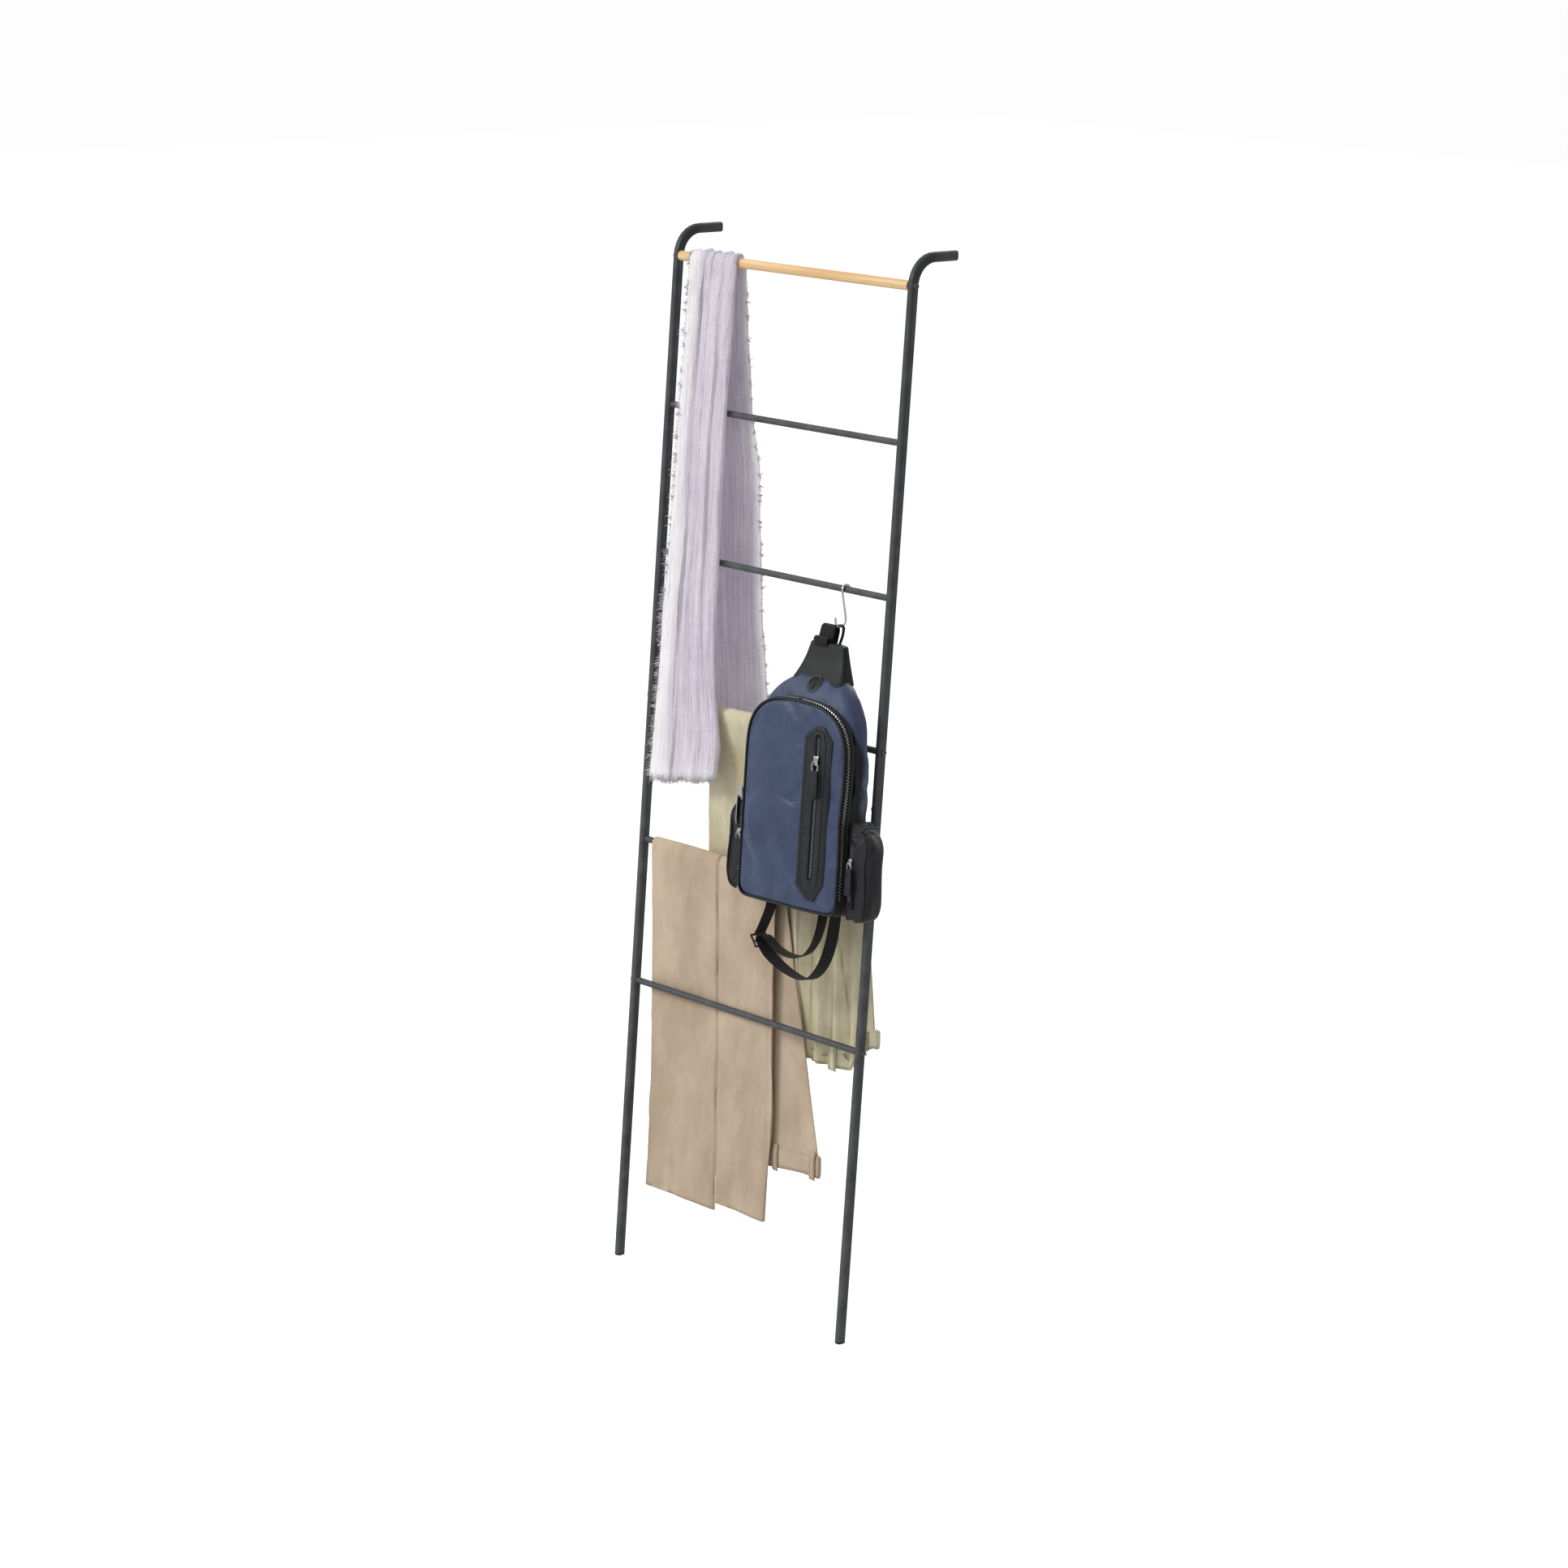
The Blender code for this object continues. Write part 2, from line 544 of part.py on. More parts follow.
# ---------------------------------------------------------------- S-hook
y3, z3 = RUNG_Z[2] * TL, RUNG_Z[2]
ur = RUNG_R + FIT_GAP + HOOK_WIRE_R
hook = []
for a in (-50, -20, 10, 40, 70, 100, 130, 160, 184):
    t = math.radians(a)
    hook.append((HOOK_X, y3 + ur * math.cos(t), z3 + ur * math.sin(t)))
hook.append((HOOK_X, y3 - ur + 0.0004, z3 - 0.008))
lower_y = HOOK_LOWER_Y + HOOK_LOWER_R
hook.append((HOOK_X, lower_y - 0.0006, HOOK_LOWER_Z + 0.006))
for a in (0, -25, -50, -75, -90, -105, -130, -155, -180):
    t = math.radians(a)
    hook.append((HOOK_X, HOOK_LOWER_Y + HOOK_LOWER_R * math.cos(t),
                 HOOK_LOWER_Z + HOOK_LOWER_R * math.sin(t)))
hook.append((HOOK_X, HOOK_LOWER_Y - HOOK_LOWER_R - 0.0008, HOOK_LOWER_Z + 0.005))
solid("s_hook", *wire(hook, HOOK_WIRE_R, 12), CHROME)

# ---------------------------------------------------------------- bag body


def box_ring(half, depth, count=24, power=0.35, u0=0.0, v_back=0.0):
    ring = []
    for k in range(count):
        t = 2 * math.pi * (k + 0.5) / count
        c, s = math.cos(t), math.sin(t)
        ring.append((u0 + half * math.copysign(abs(c) ** power, c),
                     v_back - depth / 2 + depth / 2 * math.copysign(abs(s) ** power, s)))
    return ring


levels = [(0.003, 0.786, 0.82), (0.012, 0.875, 0.95), (0.040, 0.955, 0.995),
          (0.100, 1.0, 1.0), (0.200, 1.0, 1.0), (0.250, 0.94, 1.0), (0.285, 0.845, 0.98),
          (0.308, 0.742, 0.82), (0.333, 0.536, 0.49), (0.350, 0.430, 0.36), (0.366, 0.330, 0.23)]
levels = [(w, a * REAR_HALF, d * REAR_DEPTH) for w, a, d in levels]
rings = [tilt_all([(u, v, w) for u, v in box_ring(a, d, u0=-0.11 * max(0.0, w - 0.28),
                                                   v_back=-0.0010)])
         for w, a, d in levels]
solid("bag_rear_compartment", *loft(rings), NAVY)

# front compartment outline: straight sides, arched top


def front_outline(inset, count_top=12):
    half = FRONT_HALF - inset
    pts = [(-half + 0.012, 0.006 + inset), (half - 0.012, 0.006 + inset),
           (half, 0.018 + inset)]
    shoulder = 0.225
    for k in range(count_top + 1):
        t = math.pi * k / count_top
        c, s = math.cos(t), math.sin(t)
        pts.append((half * math.copysign(abs(c) ** 0.62, c),
                    shoulder + (FRONT_TOP - inset - shoulder) * abs(s) ** 0.75))
    pts.append((-half, 0.018 + inset))
    return pts


rim_v = -(REAR_DEPTH + 0.0010 + FIT_GAP)
rings = []
for v, inset in ((rim_v, 0.0), (rim_v - 0.008, 0.0008), (rim_v - 0.0125, 0.0035),
                 (rim_v - FRONT_DEPTH, 0.0085)):
    rings.append([tilt(u, v, w) for u, w in front_outline(inset)])
solid("bag_front_compartment", *loft(rings), NAVY)
face_v = rim_v - FRONT_DEPTH

# body zip coil round the front compartment


def outline_band(inset0, inset1, v0, v1):
    a, b = front_outline(inset0), front_outline(inset1)
    idx = list(range(2, len(a)))
    rings = []
    for i in idx:
        (ua, wa), (ub, wb) = a[i], b[i]
        rings.append([tilt(ua, v0, wa), tilt(ub, v0, wb), tilt(ub, v1, wb), tilt(ua, v1, wa)])
    return loft(rings)


solid("bag_body_zip", *outline_band(-0.0006, -0.0040, rim_v - 0.0010, rim_v - 0.0045), COIL)

# main slider on the left straight stretch
body_w = 0.143
left_u = -(FRONT_HALF + 0.0040 + FIT_GAP)


def local_box(lo, hi):
    (u0, v0, w0), (u1, v1, w1) = lo, hi
    rings = [tilt_all([(u0, v0, w), (u1, v0, w), (u1, v1, w), (u0, v1, w)]) for w in (w0, w1)]
    return loft(rings)


def local_rod(centre, axis, radius, length, sides=12):
    c = Vector(tilt(*centre))
    tip = Vector(tilt(centre[0] + axis[0], centre[1] + axis[1], centre[2] + axis[2]))
    return rod(c, tip - c, radius, length, sides)


solid("body_zip_slider", *local_box((left_u - 0.0032, rim_v - 0.0060, body_w - 0.006),
                                    (left_u, rim_v + 0.0002, body_w + 0.006)), SLIDER)
pull_u = left_u - 0.0032 - FIT_GAP
solid("body_zip_pull", *local_box((pull_u - 0.0012, rim_v - 0.0050, body_w - 0.030),
                                  (pull_u, rim_v - 0.0010, body_w + 0.001)), SLIDER)

# headphone port on the sloping top
port_c = (0.004, -0.7232 * REAR_DEPTH, 0.3220)
slope = math.atan2(0.0200, 0.025)
port = []
for t0, scale in ((0.0, 1.0), (0.0014, 0.82)):
    ring = []
    for k in range(14):
        a = 2 * math.pi * k / 14
        du, dw = 0.0150 * scale * math.cos(a), 0.0055 * scale * math.sin(a)
        v = port_c[1] + dw * math.sin(slope) - t0 * math.cos(slope)
        w = port_c[2] + dw * math.cos(slope) + t0 * math.sin(slope)
        ring.append(tilt(port_c[0] + du, v, w))
    port.append(ring)
solid("bag_cable_port", *loft(port), HIDE)

# leather anchor patch on the tapered top
patch = []
for off in (0.0, 0.0016):
    pts = [(-0.0600, -0.0385, 0.3300), (0.0470, -0.0385, 0.3300), (0.0230, -0.0178, 0.3700),
           (-0.0480, -0.0178, 0.3700)]
    patch.append(tilt_all([(u, v - off, w) for u, v, w in pts]))
solid("bag_anchor_patch", *loft(patch), HIDE, smooth=False)

# folded webbing handle and the narrow hang loop beside it
handle = [[(-0.0310, -0.0160, 0.3668), (-0.0310, -0.0020, 0.3668), (-0.0310, 0.0060, 0.3850),
           (-0.0310, 0.0080, 0.3990), (-0.0310, 0.0030, 0.4020), (-0.0310, -0.0015, 0.3990),
           (-0.0310, -0.0060, 0.3850)]]
handle.append([(-0.0115, v, w) for _, v, w in handle[0]])
solid("bag_handle", *loft([tilt_all(r) for r in handle]), WEBBING, smooth=False)

strand_w = ((HOOK_LOWER_Y - BAG_Y) * SL + (HOOK_LOWER_Z - HOOK_LOWER_R + HOOK_WIRE_R
                                           + 0.0008 - BAG_Z) * CL)
strand_v = (HOOK_LOWER_Y - BAG_Y) * CL - (HOOK_LOWER_Z - HOOK_LOWER_R - BAG_Z) * SL
hook_u = HOOK_X - BAG_X
arch = []
hole = 0.0062
for k in range(0, 9):
    t = math.pi * k / 8
    arch.append((hook_u + hole * math.cos(t), strand_w - 0.0050 + 0.0050 * math.sin(t)))
arch = [(hook_u + hole, 0.3672), (hook_u + hole, 0.3850)] + arch + \
       [(hook_u - hole, 0.3850), (hook_u - hole, 0.3672)]
norm = offset_path(arch)
rings = []
for (u, w), n in zip(arch, norm):
    lean_v = strand_v * min(1.0, max(0.0, (w - 0.3672) / 0.030)) - 0.004 * max(
        0.0, 1 - (w - 0.3672) / 0.030)
    uo, wo = u - n.x * WEB_T, w - n.y * WEB_T
    rings.append([tilt(u, lean_v - 0.0025, w), tilt(u, lean_v + 0.0025, w),
                  tilt(uo, lean_v + 0.0025, wo), tilt(uo, lean_v - 0.0025, wo)])
solid("bag_hang_loop", *loft(rings), WEBBING, smooth=False)

# leather surround of the upright front zip, with its slot
half, top_w, low_w = 0.0300, 0.2720, 0.0180
sur_v0 = face_v - FIT_GAP
outer = [(ZIP_U, low_w), (ZIP_U + 0.013, 0.026), (ZIP_U + half - 0.003, 0.040),
         (ZIP_U + half - 0.003, 0.150), (ZIP_U + half - 0.003, 0.2450), (ZIP_U + 0.014, 0.2640),
         (ZIP_U, top_w), (ZIP_U - 0.014, 0.2640), (ZIP_U - half, 0.2450),
         (ZIP_U - half, 0.150), (ZIP_U - half, 0.040), (ZIP_U - 0.013, 0.026)]
slot = 0.0045
inner = [(ZIP_U, 0.041), (ZIP_U + slot * 0.7, 0.042), (ZIP_U + slot, 0.046), (ZIP_U + slot, 0.150),
         (ZIP_U + slot, 0.2500), (ZIP_U + slot * 0.7, 0.2560), (ZIP_U, 0.2570),
         (ZIP_U - slot * 0.7, 0.2560), (ZIP_U - slot, 0.2500), (ZIP_U - slot, 0.150),
         (ZIP_U - slot, 0.046), (ZIP_U - slot * 0.7, 0.042)]
sur_v1 = sur_v0 - 0.0016
rings = [[tilt(u, sur_v0, w) for u, w in outer], [tilt(u, sur_v1, w) for u, w in outer],
         [tilt(u, sur_v1, w) for u, w in inner], [tilt(u, sur_v0, w) for u, w in inner]]
solid("front_zip_surround", *loft(rings, closed=True), HIDE, smooth=False)
solid("front_zip_coil", *local_box((ZIP_U - 0.0038, sur_v0 - 0.0012, 0.0470),
                                   (ZIP_U + 0.0038, sur_v0, 0.2490)), COIL, smooth=False)
fz_w = 0.2190
fz_v = sur_v1 - FIT_GAP
solid("front_zip_slider", *local_box((ZIP_U - 0.0046, fz_v - 0.0030, fz_w - 0.0060),
                                     (ZIP_U + 0.0046, fz_v, fz_w + 0.0060)), SLIDER)
ring_v = fz_v - 0.0030 - FIT_GAP - 0.0008
dring = []
for k in range(13):
    t = math.radians(20 + 320 * k / 12)
    dring.append(tilt(ZIP_U + 0.0050 * math.sin(t), ring_v, fz_w - 0.0080 + 0.0075 * math.cos(t)))
solid("front_zip_ring", *wire(dring, 0.0008, 8), SLIDER)
solid("front_zip_tab", *local_box((ZIP_U - 0.0055, ring_v - 0.0030, fz_w - 0.0560),
                                  (ZIP_U + 0.0055, ring_v - 0.0012, fz_w - 0.0120)), HIDE,
      smooth=False)

# ---------------------------------------------------------------- side pockets
section = [(0.0, 0.20), (0.0, 0.89), (0.014, 0.99), (0.034, 0.975), (0.044, 0.89),
           (POCKET_OUT, 0.64), (0.043, 0.38), (0.026, 0.20)]
section = [(du, -f * REAR_DEPTH) for du, f in section]
grow = [(-0.002, 0.55), (0.006, 0.85), (0.025, 1.0), (0.100, 1.0), (0.124, 0.86),
        (POCKET_TOP, 0.50)]
pocket_in = REAR_HALF + FIT_GAP + 0.0002
for side, sign in (("left", -1), ("right", 1)):
    rings = []
    for w, g in grow:
        rings.append([tilt(sign * (pocket_in + du * g), v * (0.86 + 0.14 * g) - 0.003 * (1 - g), w)
                      for du, v in section])
    solid("bag_%s_pocket" % side, *loft(rings), INK)
    zu = sign * (pocket_in + 0.0110)
    zv = -0.99 * REAR_DEPTH - FIT_GAP - 0.0003
    lo_u, hi_u = sorted((zu - 0.0022, zu + 0.0022))
    solid("%s_pocket_zip" % side, *local_box((lo_u, zv - 0.0014, 0.024), (hi_u, zv, 0.104)),
          COIL, smooth=False)
    sv = zv - 0.0014 - FIT_GAP
    pw = 0.0812
    solid("%s_pocket_slider" % side, *local_box((zu - 0.0036, sv - 0.0026, pw - 0.0050),
                                                (zu + 0.0036, sv, pw + 0.0050)), SLIDER)
    tv = sv - 0.0026 - 0.0005
    solid("%s_pocket_tab" % side, *local_box((zu - 0.0048, tv - 0.0018, pw - 0.0480),
                                             (zu + 0.0048, tv, pw - 0.0005)), HIDE,
          smooth=False)

# ---------------------------------------------------------------- lower straps


def strap(points, v_mid, width, thick, v_end=None):
    norm = offset_path(points)
    rings = []
    for i, ((u, w), n) in enumerate(zip(points, norm)):
        f = i / (len(points) - 1)
        v = v_mid + ((v_end if v_end is not None else v_mid) - v_mid) * f
        a = (u - n.x * thick / 2, w - n.y * thick / 2)
        b = (u + n.x * thick / 2, w + n.y * thick / 2)
        rings.append([tilt(a[0], v - width / 2, a[1]), tilt(a[0], v + width / 2, a[1]),
                      tilt(b[0], v + width / 2, b[1]), tilt(b[0], v - width / 2, b[1])])
    return loft(rings)


strap_v = -0.028
solid("strap_short", *strap([(-0.0720, 0.0020), (-0.0755, -0.0250), (-0.0850, -0.0480),
                             (-0.0960, -0.0700)], strap_v, WEB_W, WEB_T), WEBBING, smooth=False)
strap_pts = [(0.0635, 0.0020), (0.0620, -0.0170), (0.0570, -0.0500), (0.0460, -0.0830),
             (0.0280, -0.1080), (0.0080, -0.1180), (-0.0150, -0.1165), (-0.0450, -0.1080),
             (-0.0700, -0.0960), (-0.0840, -0.0830), (-0.0885, -0.0775), (-0.0885, -0.0725),
             (-0.0845, -0.0700), (-0.0780, -0.0722), (-0.0600, -0.0830), (-0.0380, -0.0890),
             (-0.0150, -0.0890), (0.0070, -0.0800), (0.0240, -0.0600), (0.0340, -0.0350),
             (0.0390, -0.0120), (0.0405, 0.0020)]
solid("strap_long", *strap(strap_pts, strap_v, WEB_W, WEB_T), WEBBING, smooth=False)
frame_u, frame_w, bh = -0.0905, -0.0770, 0.0135
buckle_rings = []
ax = Vector((0.62, -0.78))       # along the strap, in (u, w)
nx = Vector((0.78, 0.62))
half_l, half_w = 0.0085, bh
outer_b = [(half_l, half_w), (-half_l, half_w), (-half_l, -half_w), (half_l, -half_w)]
inner_b = [(half_l - 0.0028, half_w - 0.0022), (-half_l + 0.0028, half_w - 0.0022),
           (-half_l + 0.0028, -half_w + 0.0022), (half_l - 0.0028, -half_w + 0.0022)]


def buckle_point(along, across, lift):
    u = frame_u + ax.x * along + nx.x * lift
    w = frame_w + ax.y * along + nx.y * lift
    return tilt(u, strap_v + across, w)


lift0, lift1 = -0.0052, -0.0024
rings = [[buckle_point(a, b, lift0) for a, b in outer_b],
         [buckle_point(a, b, lift1) for a, b in outer_b],
         [buckle_point(a, b, lift1) for a, b in inner_b],
         [buckle_point(a, b, lift0) for a, b in inner_b]]
solid("strap_buckle", *loft(rings, closed=True), BUCKLE, smooth=False)

# ---------------------------------------------------------------- joint axes


def pivot(name, where, parent=None):
    empty = bpy.data.objects.new(name, None)
    empty.empty_display_size = 0.02
    empty.location = where
    rack_set.objects.link(empty)
    if parent:
        hold(empty, parent)
    return empty


def hold(child, parent):
    """Parent without moving the child; no pivot here is turned or scaled."""
    child.parent = parent
    child.location = Vector(child.location) - world_place(parent)


def world_place(obj):
    place = Vector(obj.location)
    while obj.parent:
        obj = obj.parent
        place += Vector(obj.location)
    return place


def move_origin(name, where):
    """Put a piece's origin on its joint's axis and leave the piece where it is."""
    piece = bpy.data.objects[name]
    where = Vector(where)
    for vert in piece.data.vertices:
        vert.co -= where
    piece.location = where
    return piece


# cloth slides along its own bar or rung
throw_axis = pivot("throw_slides", (0, bar_y, BAR_Z))
khaki_axis = pivot("khaki_slides", (0, y4, z4))
beige_axis = pivot("beige_slides", (0, y5, z5))
hook_axis = pivot("hook_slides", (HOOK_X, y3, z3))
bag_axis = pivot("bag_swings", (HOOK_X, HOOK_LOWER_Y, HOOK_LOWER_Z), hook_axis)
hold(move_origin("throw_cloth", (0, bar_y, BAR_Z)), throw_axis)
hold(move_origin("s_hook", (HOOK_X, y3, z3)), hook_axis)
for name in ("left_leg", "right_leg", "waistband"):
    for kind, axis, spot in (("khaki", khaki_axis, (0, y4, z4)), ("beige", beige_axis, (0, y5, z5))):
        piece = bpy.data.objects["%s_%s" % (kind, name)]
        if not piece.modifiers:
            piece = move_origin(piece.name, spot)
        hold(piece, axis)
pull_axis = tilt(pull_u - 0.0006, rim_v - 0.0030, body_w)
front_axis = tilt(ZIP_U, ring_v, fz_w - 0.00095)
movers = {"body_zip_slider": tilt(left_u, rim_v - 0.0030, body_w), "body_zip_pull": pull_axis,
          "front_zip_slider": tilt(ZIP_U, fz_v, fz_w), "front_zip_ring": front_axis,
          "front_zip_tab": front_axis}
for side, sign in (("left", -1), ("right", 1)):
    u = sign * (pocket_in + 0.0110)
    movers[side + "_pocket_slider"] = tilt(u, sv, pw)
    movers[side + "_pocket_tab"] = tilt(u, tv - 0.0009, pw - 0.0013)
for name, spot in movers.items():
    hold(move_origin(name, spot), bag_axis)
for obj in list(rack_set.objects):
    if obj.type == "MESH" and obj.parent is None and obj.name.startswith(
            ("bag_", "front_zip", "strap_", "left_pocket", "right_pocket")):
        hold(obj, bag_axis)
print("pieces:", len([o for o in rack_set.objects if o.type == "MESH"]))
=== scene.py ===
import math
import bpy
import bmesh
import numpy as np
from mathutils import Matrix, Vector, noise
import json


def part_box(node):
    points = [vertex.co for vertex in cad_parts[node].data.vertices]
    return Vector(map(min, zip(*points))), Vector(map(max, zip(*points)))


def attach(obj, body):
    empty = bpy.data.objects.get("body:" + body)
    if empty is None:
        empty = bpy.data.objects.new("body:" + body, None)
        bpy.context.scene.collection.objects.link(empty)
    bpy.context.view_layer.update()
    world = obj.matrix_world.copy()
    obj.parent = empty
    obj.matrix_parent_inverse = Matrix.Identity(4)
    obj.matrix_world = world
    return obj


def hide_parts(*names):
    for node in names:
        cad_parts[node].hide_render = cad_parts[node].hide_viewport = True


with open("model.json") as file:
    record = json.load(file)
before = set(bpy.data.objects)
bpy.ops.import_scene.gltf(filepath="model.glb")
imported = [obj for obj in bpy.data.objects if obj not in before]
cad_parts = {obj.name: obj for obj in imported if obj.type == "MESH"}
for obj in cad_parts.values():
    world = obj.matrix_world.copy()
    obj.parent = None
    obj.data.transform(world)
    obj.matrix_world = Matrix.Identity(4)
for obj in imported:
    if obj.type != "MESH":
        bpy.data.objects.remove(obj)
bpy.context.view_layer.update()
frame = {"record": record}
scene = bpy.context.scene
scene.view_settings.view_transform = "Standard"


def middle(node):
    low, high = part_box(node)
    return (Vector(low) + Vector(high)) / 2


bar = middle("wooden_bar")
rung = {k: middle("rung_%d" % k) for k in range(2, 7)}
lean = math.atan2(bar.y, bar.z)

# camera first
camera = {
    "place": (4.5001, -3.9856, 2.1677),
    "yaw": 0.8339,
    "pitch": 0.2234,
    "roll": 0.0192,
    "lens": 95.71,
}


def makeCamera():
    data = bpy.data.cameras.new("viewCamera")
    data.lens = camera["lens"]
    data.sensor_width = 36
    data.clip_end = 60
    cam = bpy.data.objects.new("viewCamera", data)
    scene.collection.objects.link(cam)
    yaw, pitch, roll = camera["yaw"], camera["pitch"], camera["roll"]
    ahead = Vector((-math.sin(yaw) * math.cos(pitch), math.cos(yaw) * math.cos(pitch),
                    -math.sin(pitch)))
    right = Vector((math.cos(yaw), math.sin(yaw), 0))
    up = right.cross(ahead)
    turned = math.cos(roll) * right + math.sin(roll) * up
    upright = -math.sin(roll) * right + math.cos(roll) * up
    grid = Matrix((turned, upright, -ahead)).transposed().to_4x4()
    grid.translation = Vector(camera["place"])
    cam.matrix_world = grid
    scene.camera = cam


makeCamera()

studio = {
    "floor": (0.62, 0.62, 0.618),
    "sky": 0.98,
    "ambient": 0.74,
    "shade": 0.30,
    "glow": 0.72,
    "key": 104.0,
    "fill": 7.0,
    "back": 26.0,
}


def areaLight(name, place, target, size, power, colour=(1, 1, 1)):
    data = bpy.data.lights.new(name, "AREA")
    data.shape = "RECTANGLE"
    data.size, data.size_y = size
    data.energy = power
    data.color = colour
    lamp = bpy.data.objects.new(name, data)
    lamp.location = place
    lamp.rotation_mode = "QUATERNION"
    lamp.rotation_quaternion = (Vector(target) - Vector(place)).to_track_quat("-Z", "Y")
    scene.collection.objects.link(lamp)


def makeStudio():
    world = bpy.data.worlds.new("paleRoom")
    world.use_nodes = True
    # the room lights softly, and reads near white behind the floor's far edge
    tree = world.node_tree
    back = tree.nodes["Background"]
    back.inputs["Color"].default_value = (1, 1, 1, 1)
    # and its right-hand side is shaded so that faces turned that way fall off
    seen = tree.nodes.new("ShaderNodeLightPath").outputs["Is Camera Ray"]
    split = tree.nodes.new("ShaderNodeSeparateXYZ")
    tree.links.new(tree.nodes.new("ShaderNodeTexCoord").outputs["Generated"], split.inputs[0])
    dim = sums(tree, "MULTIPLY_ADD", split.outputs[0], -1.6, 1.5, clamp=True)
    dim = sums(tree, "MULTIPLY_ADD", dim, studio["ambient"] * (1 - studio["shade"]),
               studio["ambient"] * studio["shade"])
    gap = sums(tree, "SUBTRACT", studio["sky"], dim)
    tree.links.new(sums(tree, "MULTIPLY_ADD", seen, gap, dim), back.inputs["Strength"])
    scene.world = world
    areaLight("keyLight", (-2.0, -3.4, 3.6), (0, 0, 0.8), (1.7, 1.7), studio["key"],
              (1.0, 0.985, 0.96))
    areaLight("fillLight", (3.6, -1.8, 1.8), (0, 0, 0.8), (2.2, 2.2), studio["fill"],
              (0.95, 0.975, 1.0))
    areaLight("backLight", (-1.2, 2.6, 2.6), (0, 0, 1.0), (2.0, 1.4), studio["back"])
    deselectAll()
    bpy.ops.mesh.primitive_plane_add(size=40, location=(0, 0, -0.0008))
    floor = bpy.context.object
    floor.name = "paleFloor"
    mat = bpy.data.materials.new("paleFloorFinish")
    mat.use_nodes = True
    shader = mat.node_tree.nodes["Principled BSDF"]
    shader.inputs["Base Color"].default_value = (*studio["floor"], 1)
    shader.inputs["Roughness"].default_value = 0.85
    shader.inputs["Emission Color"].default_value = (1, 1, 1, 1)
    tree = mat.node_tree
    seen = tree.nodes.new("ShaderNodeLightPath").outputs["Is Camera Ray"]
    tree.links.new(sums(tree, "MULTIPLY", seen, studio["glow"]),
                   shader.inputs["Emission Strength"])
    floor.data.materials.append(mat)


def deselectAll():
    if bpy.context.object and bpy.context.object.mode != "OBJECT":
        bpy.ops.object.mode_set(mode="OBJECT")
    bpy.ops.object.select_all(action="DESELECT")


def pickOnly(piece):
    deselectAll()
    piece.select_set(True)
    bpy.context.view_layer.objects.active = piece


# shared texture groups

def newGroup(name, inputs, outputs):
    group = bpy.data.node_groups.new(name, "ShaderNodeTree")
    for label, kind, value in inputs:
        made = group.interface.new_socket(name=label, in_out="INPUT", socket_type=kind)
        if value is not None:
            made.default_value = value
    for label, kind in outputs:
        group.interface.new_socket(name=label, in_out="OUTPUT", socket_type=kind)
    return group, group.nodes.new("NodeGroupInput"), group.nodes.new("NodeGroupOutput")


def sums(tree, operation, first, second=None, third=None, clamp=False):
    node = tree.nodes.new("ShaderNodeMath")
    node.operation = operation
    node.use_clamp = clamp
    for socket, value in zip(node.inputs, (first, second, third)):
        if value is None:
            continue
        if isinstance(value, (int, float)):
            socket.default_value = value
        else:
            tree.links.new(value, socket)
    return node.outputs[0]


def scaled(tree, vector, factors):
    node = tree.nodes.new("ShaderNodeMapping")
    node.inputs["Scale"].default_value = factors
    tree.links.new(vector, node.inputs["Vector"])
    return node.outputs[0]


def cloudy(tree, vector, scale, detail=3.0, rough=0.55):
    node = tree.nodes.new("ShaderNodeTexNoise")
    node.inputs["Scale"].default_value = scale
    node.inputs["Detail"].default_value = detail
    node.inputs["Roughness"].default_value = rough
    tree.links.new(vector, node.inputs["Vector"])
    return node.outputs[0]


def ramp(tree, value, stops):
    node = tree.nodes.new("ShaderNodeValToRGB")
    line = node.color_ramp
    while len(line.elements) < len(stops):
        line.elements.new(0.5)
    for element, (place, colour) in zip(line.elements, stops):
        element.position = place
        element.color = (*colour, 1) if len(colour) == 3 else colour
    tree.links.new(value, node.inputs[0])
    return node.outputs[0]


def blendColours(tree, factor, first, second, kind="MIX"):
    node = tree.nodes.new("ShaderNodeMix")
    node.data_type = "RGBA"
    node.blend_type = kind
    for socket, value in ((node.inputs[0], factor), (node.inputs[6], first),
                          (node.inputs[7], second)):
        if isinstance(value, (int, float)):
            socket.default_value = value
        elif isinstance(value, tuple):
            socket.default_value = (*value, 1)
        else:
            tree.links.new(value, socket)
    return node.outputs[2]


makeStudio()
print("camera and studio ready")


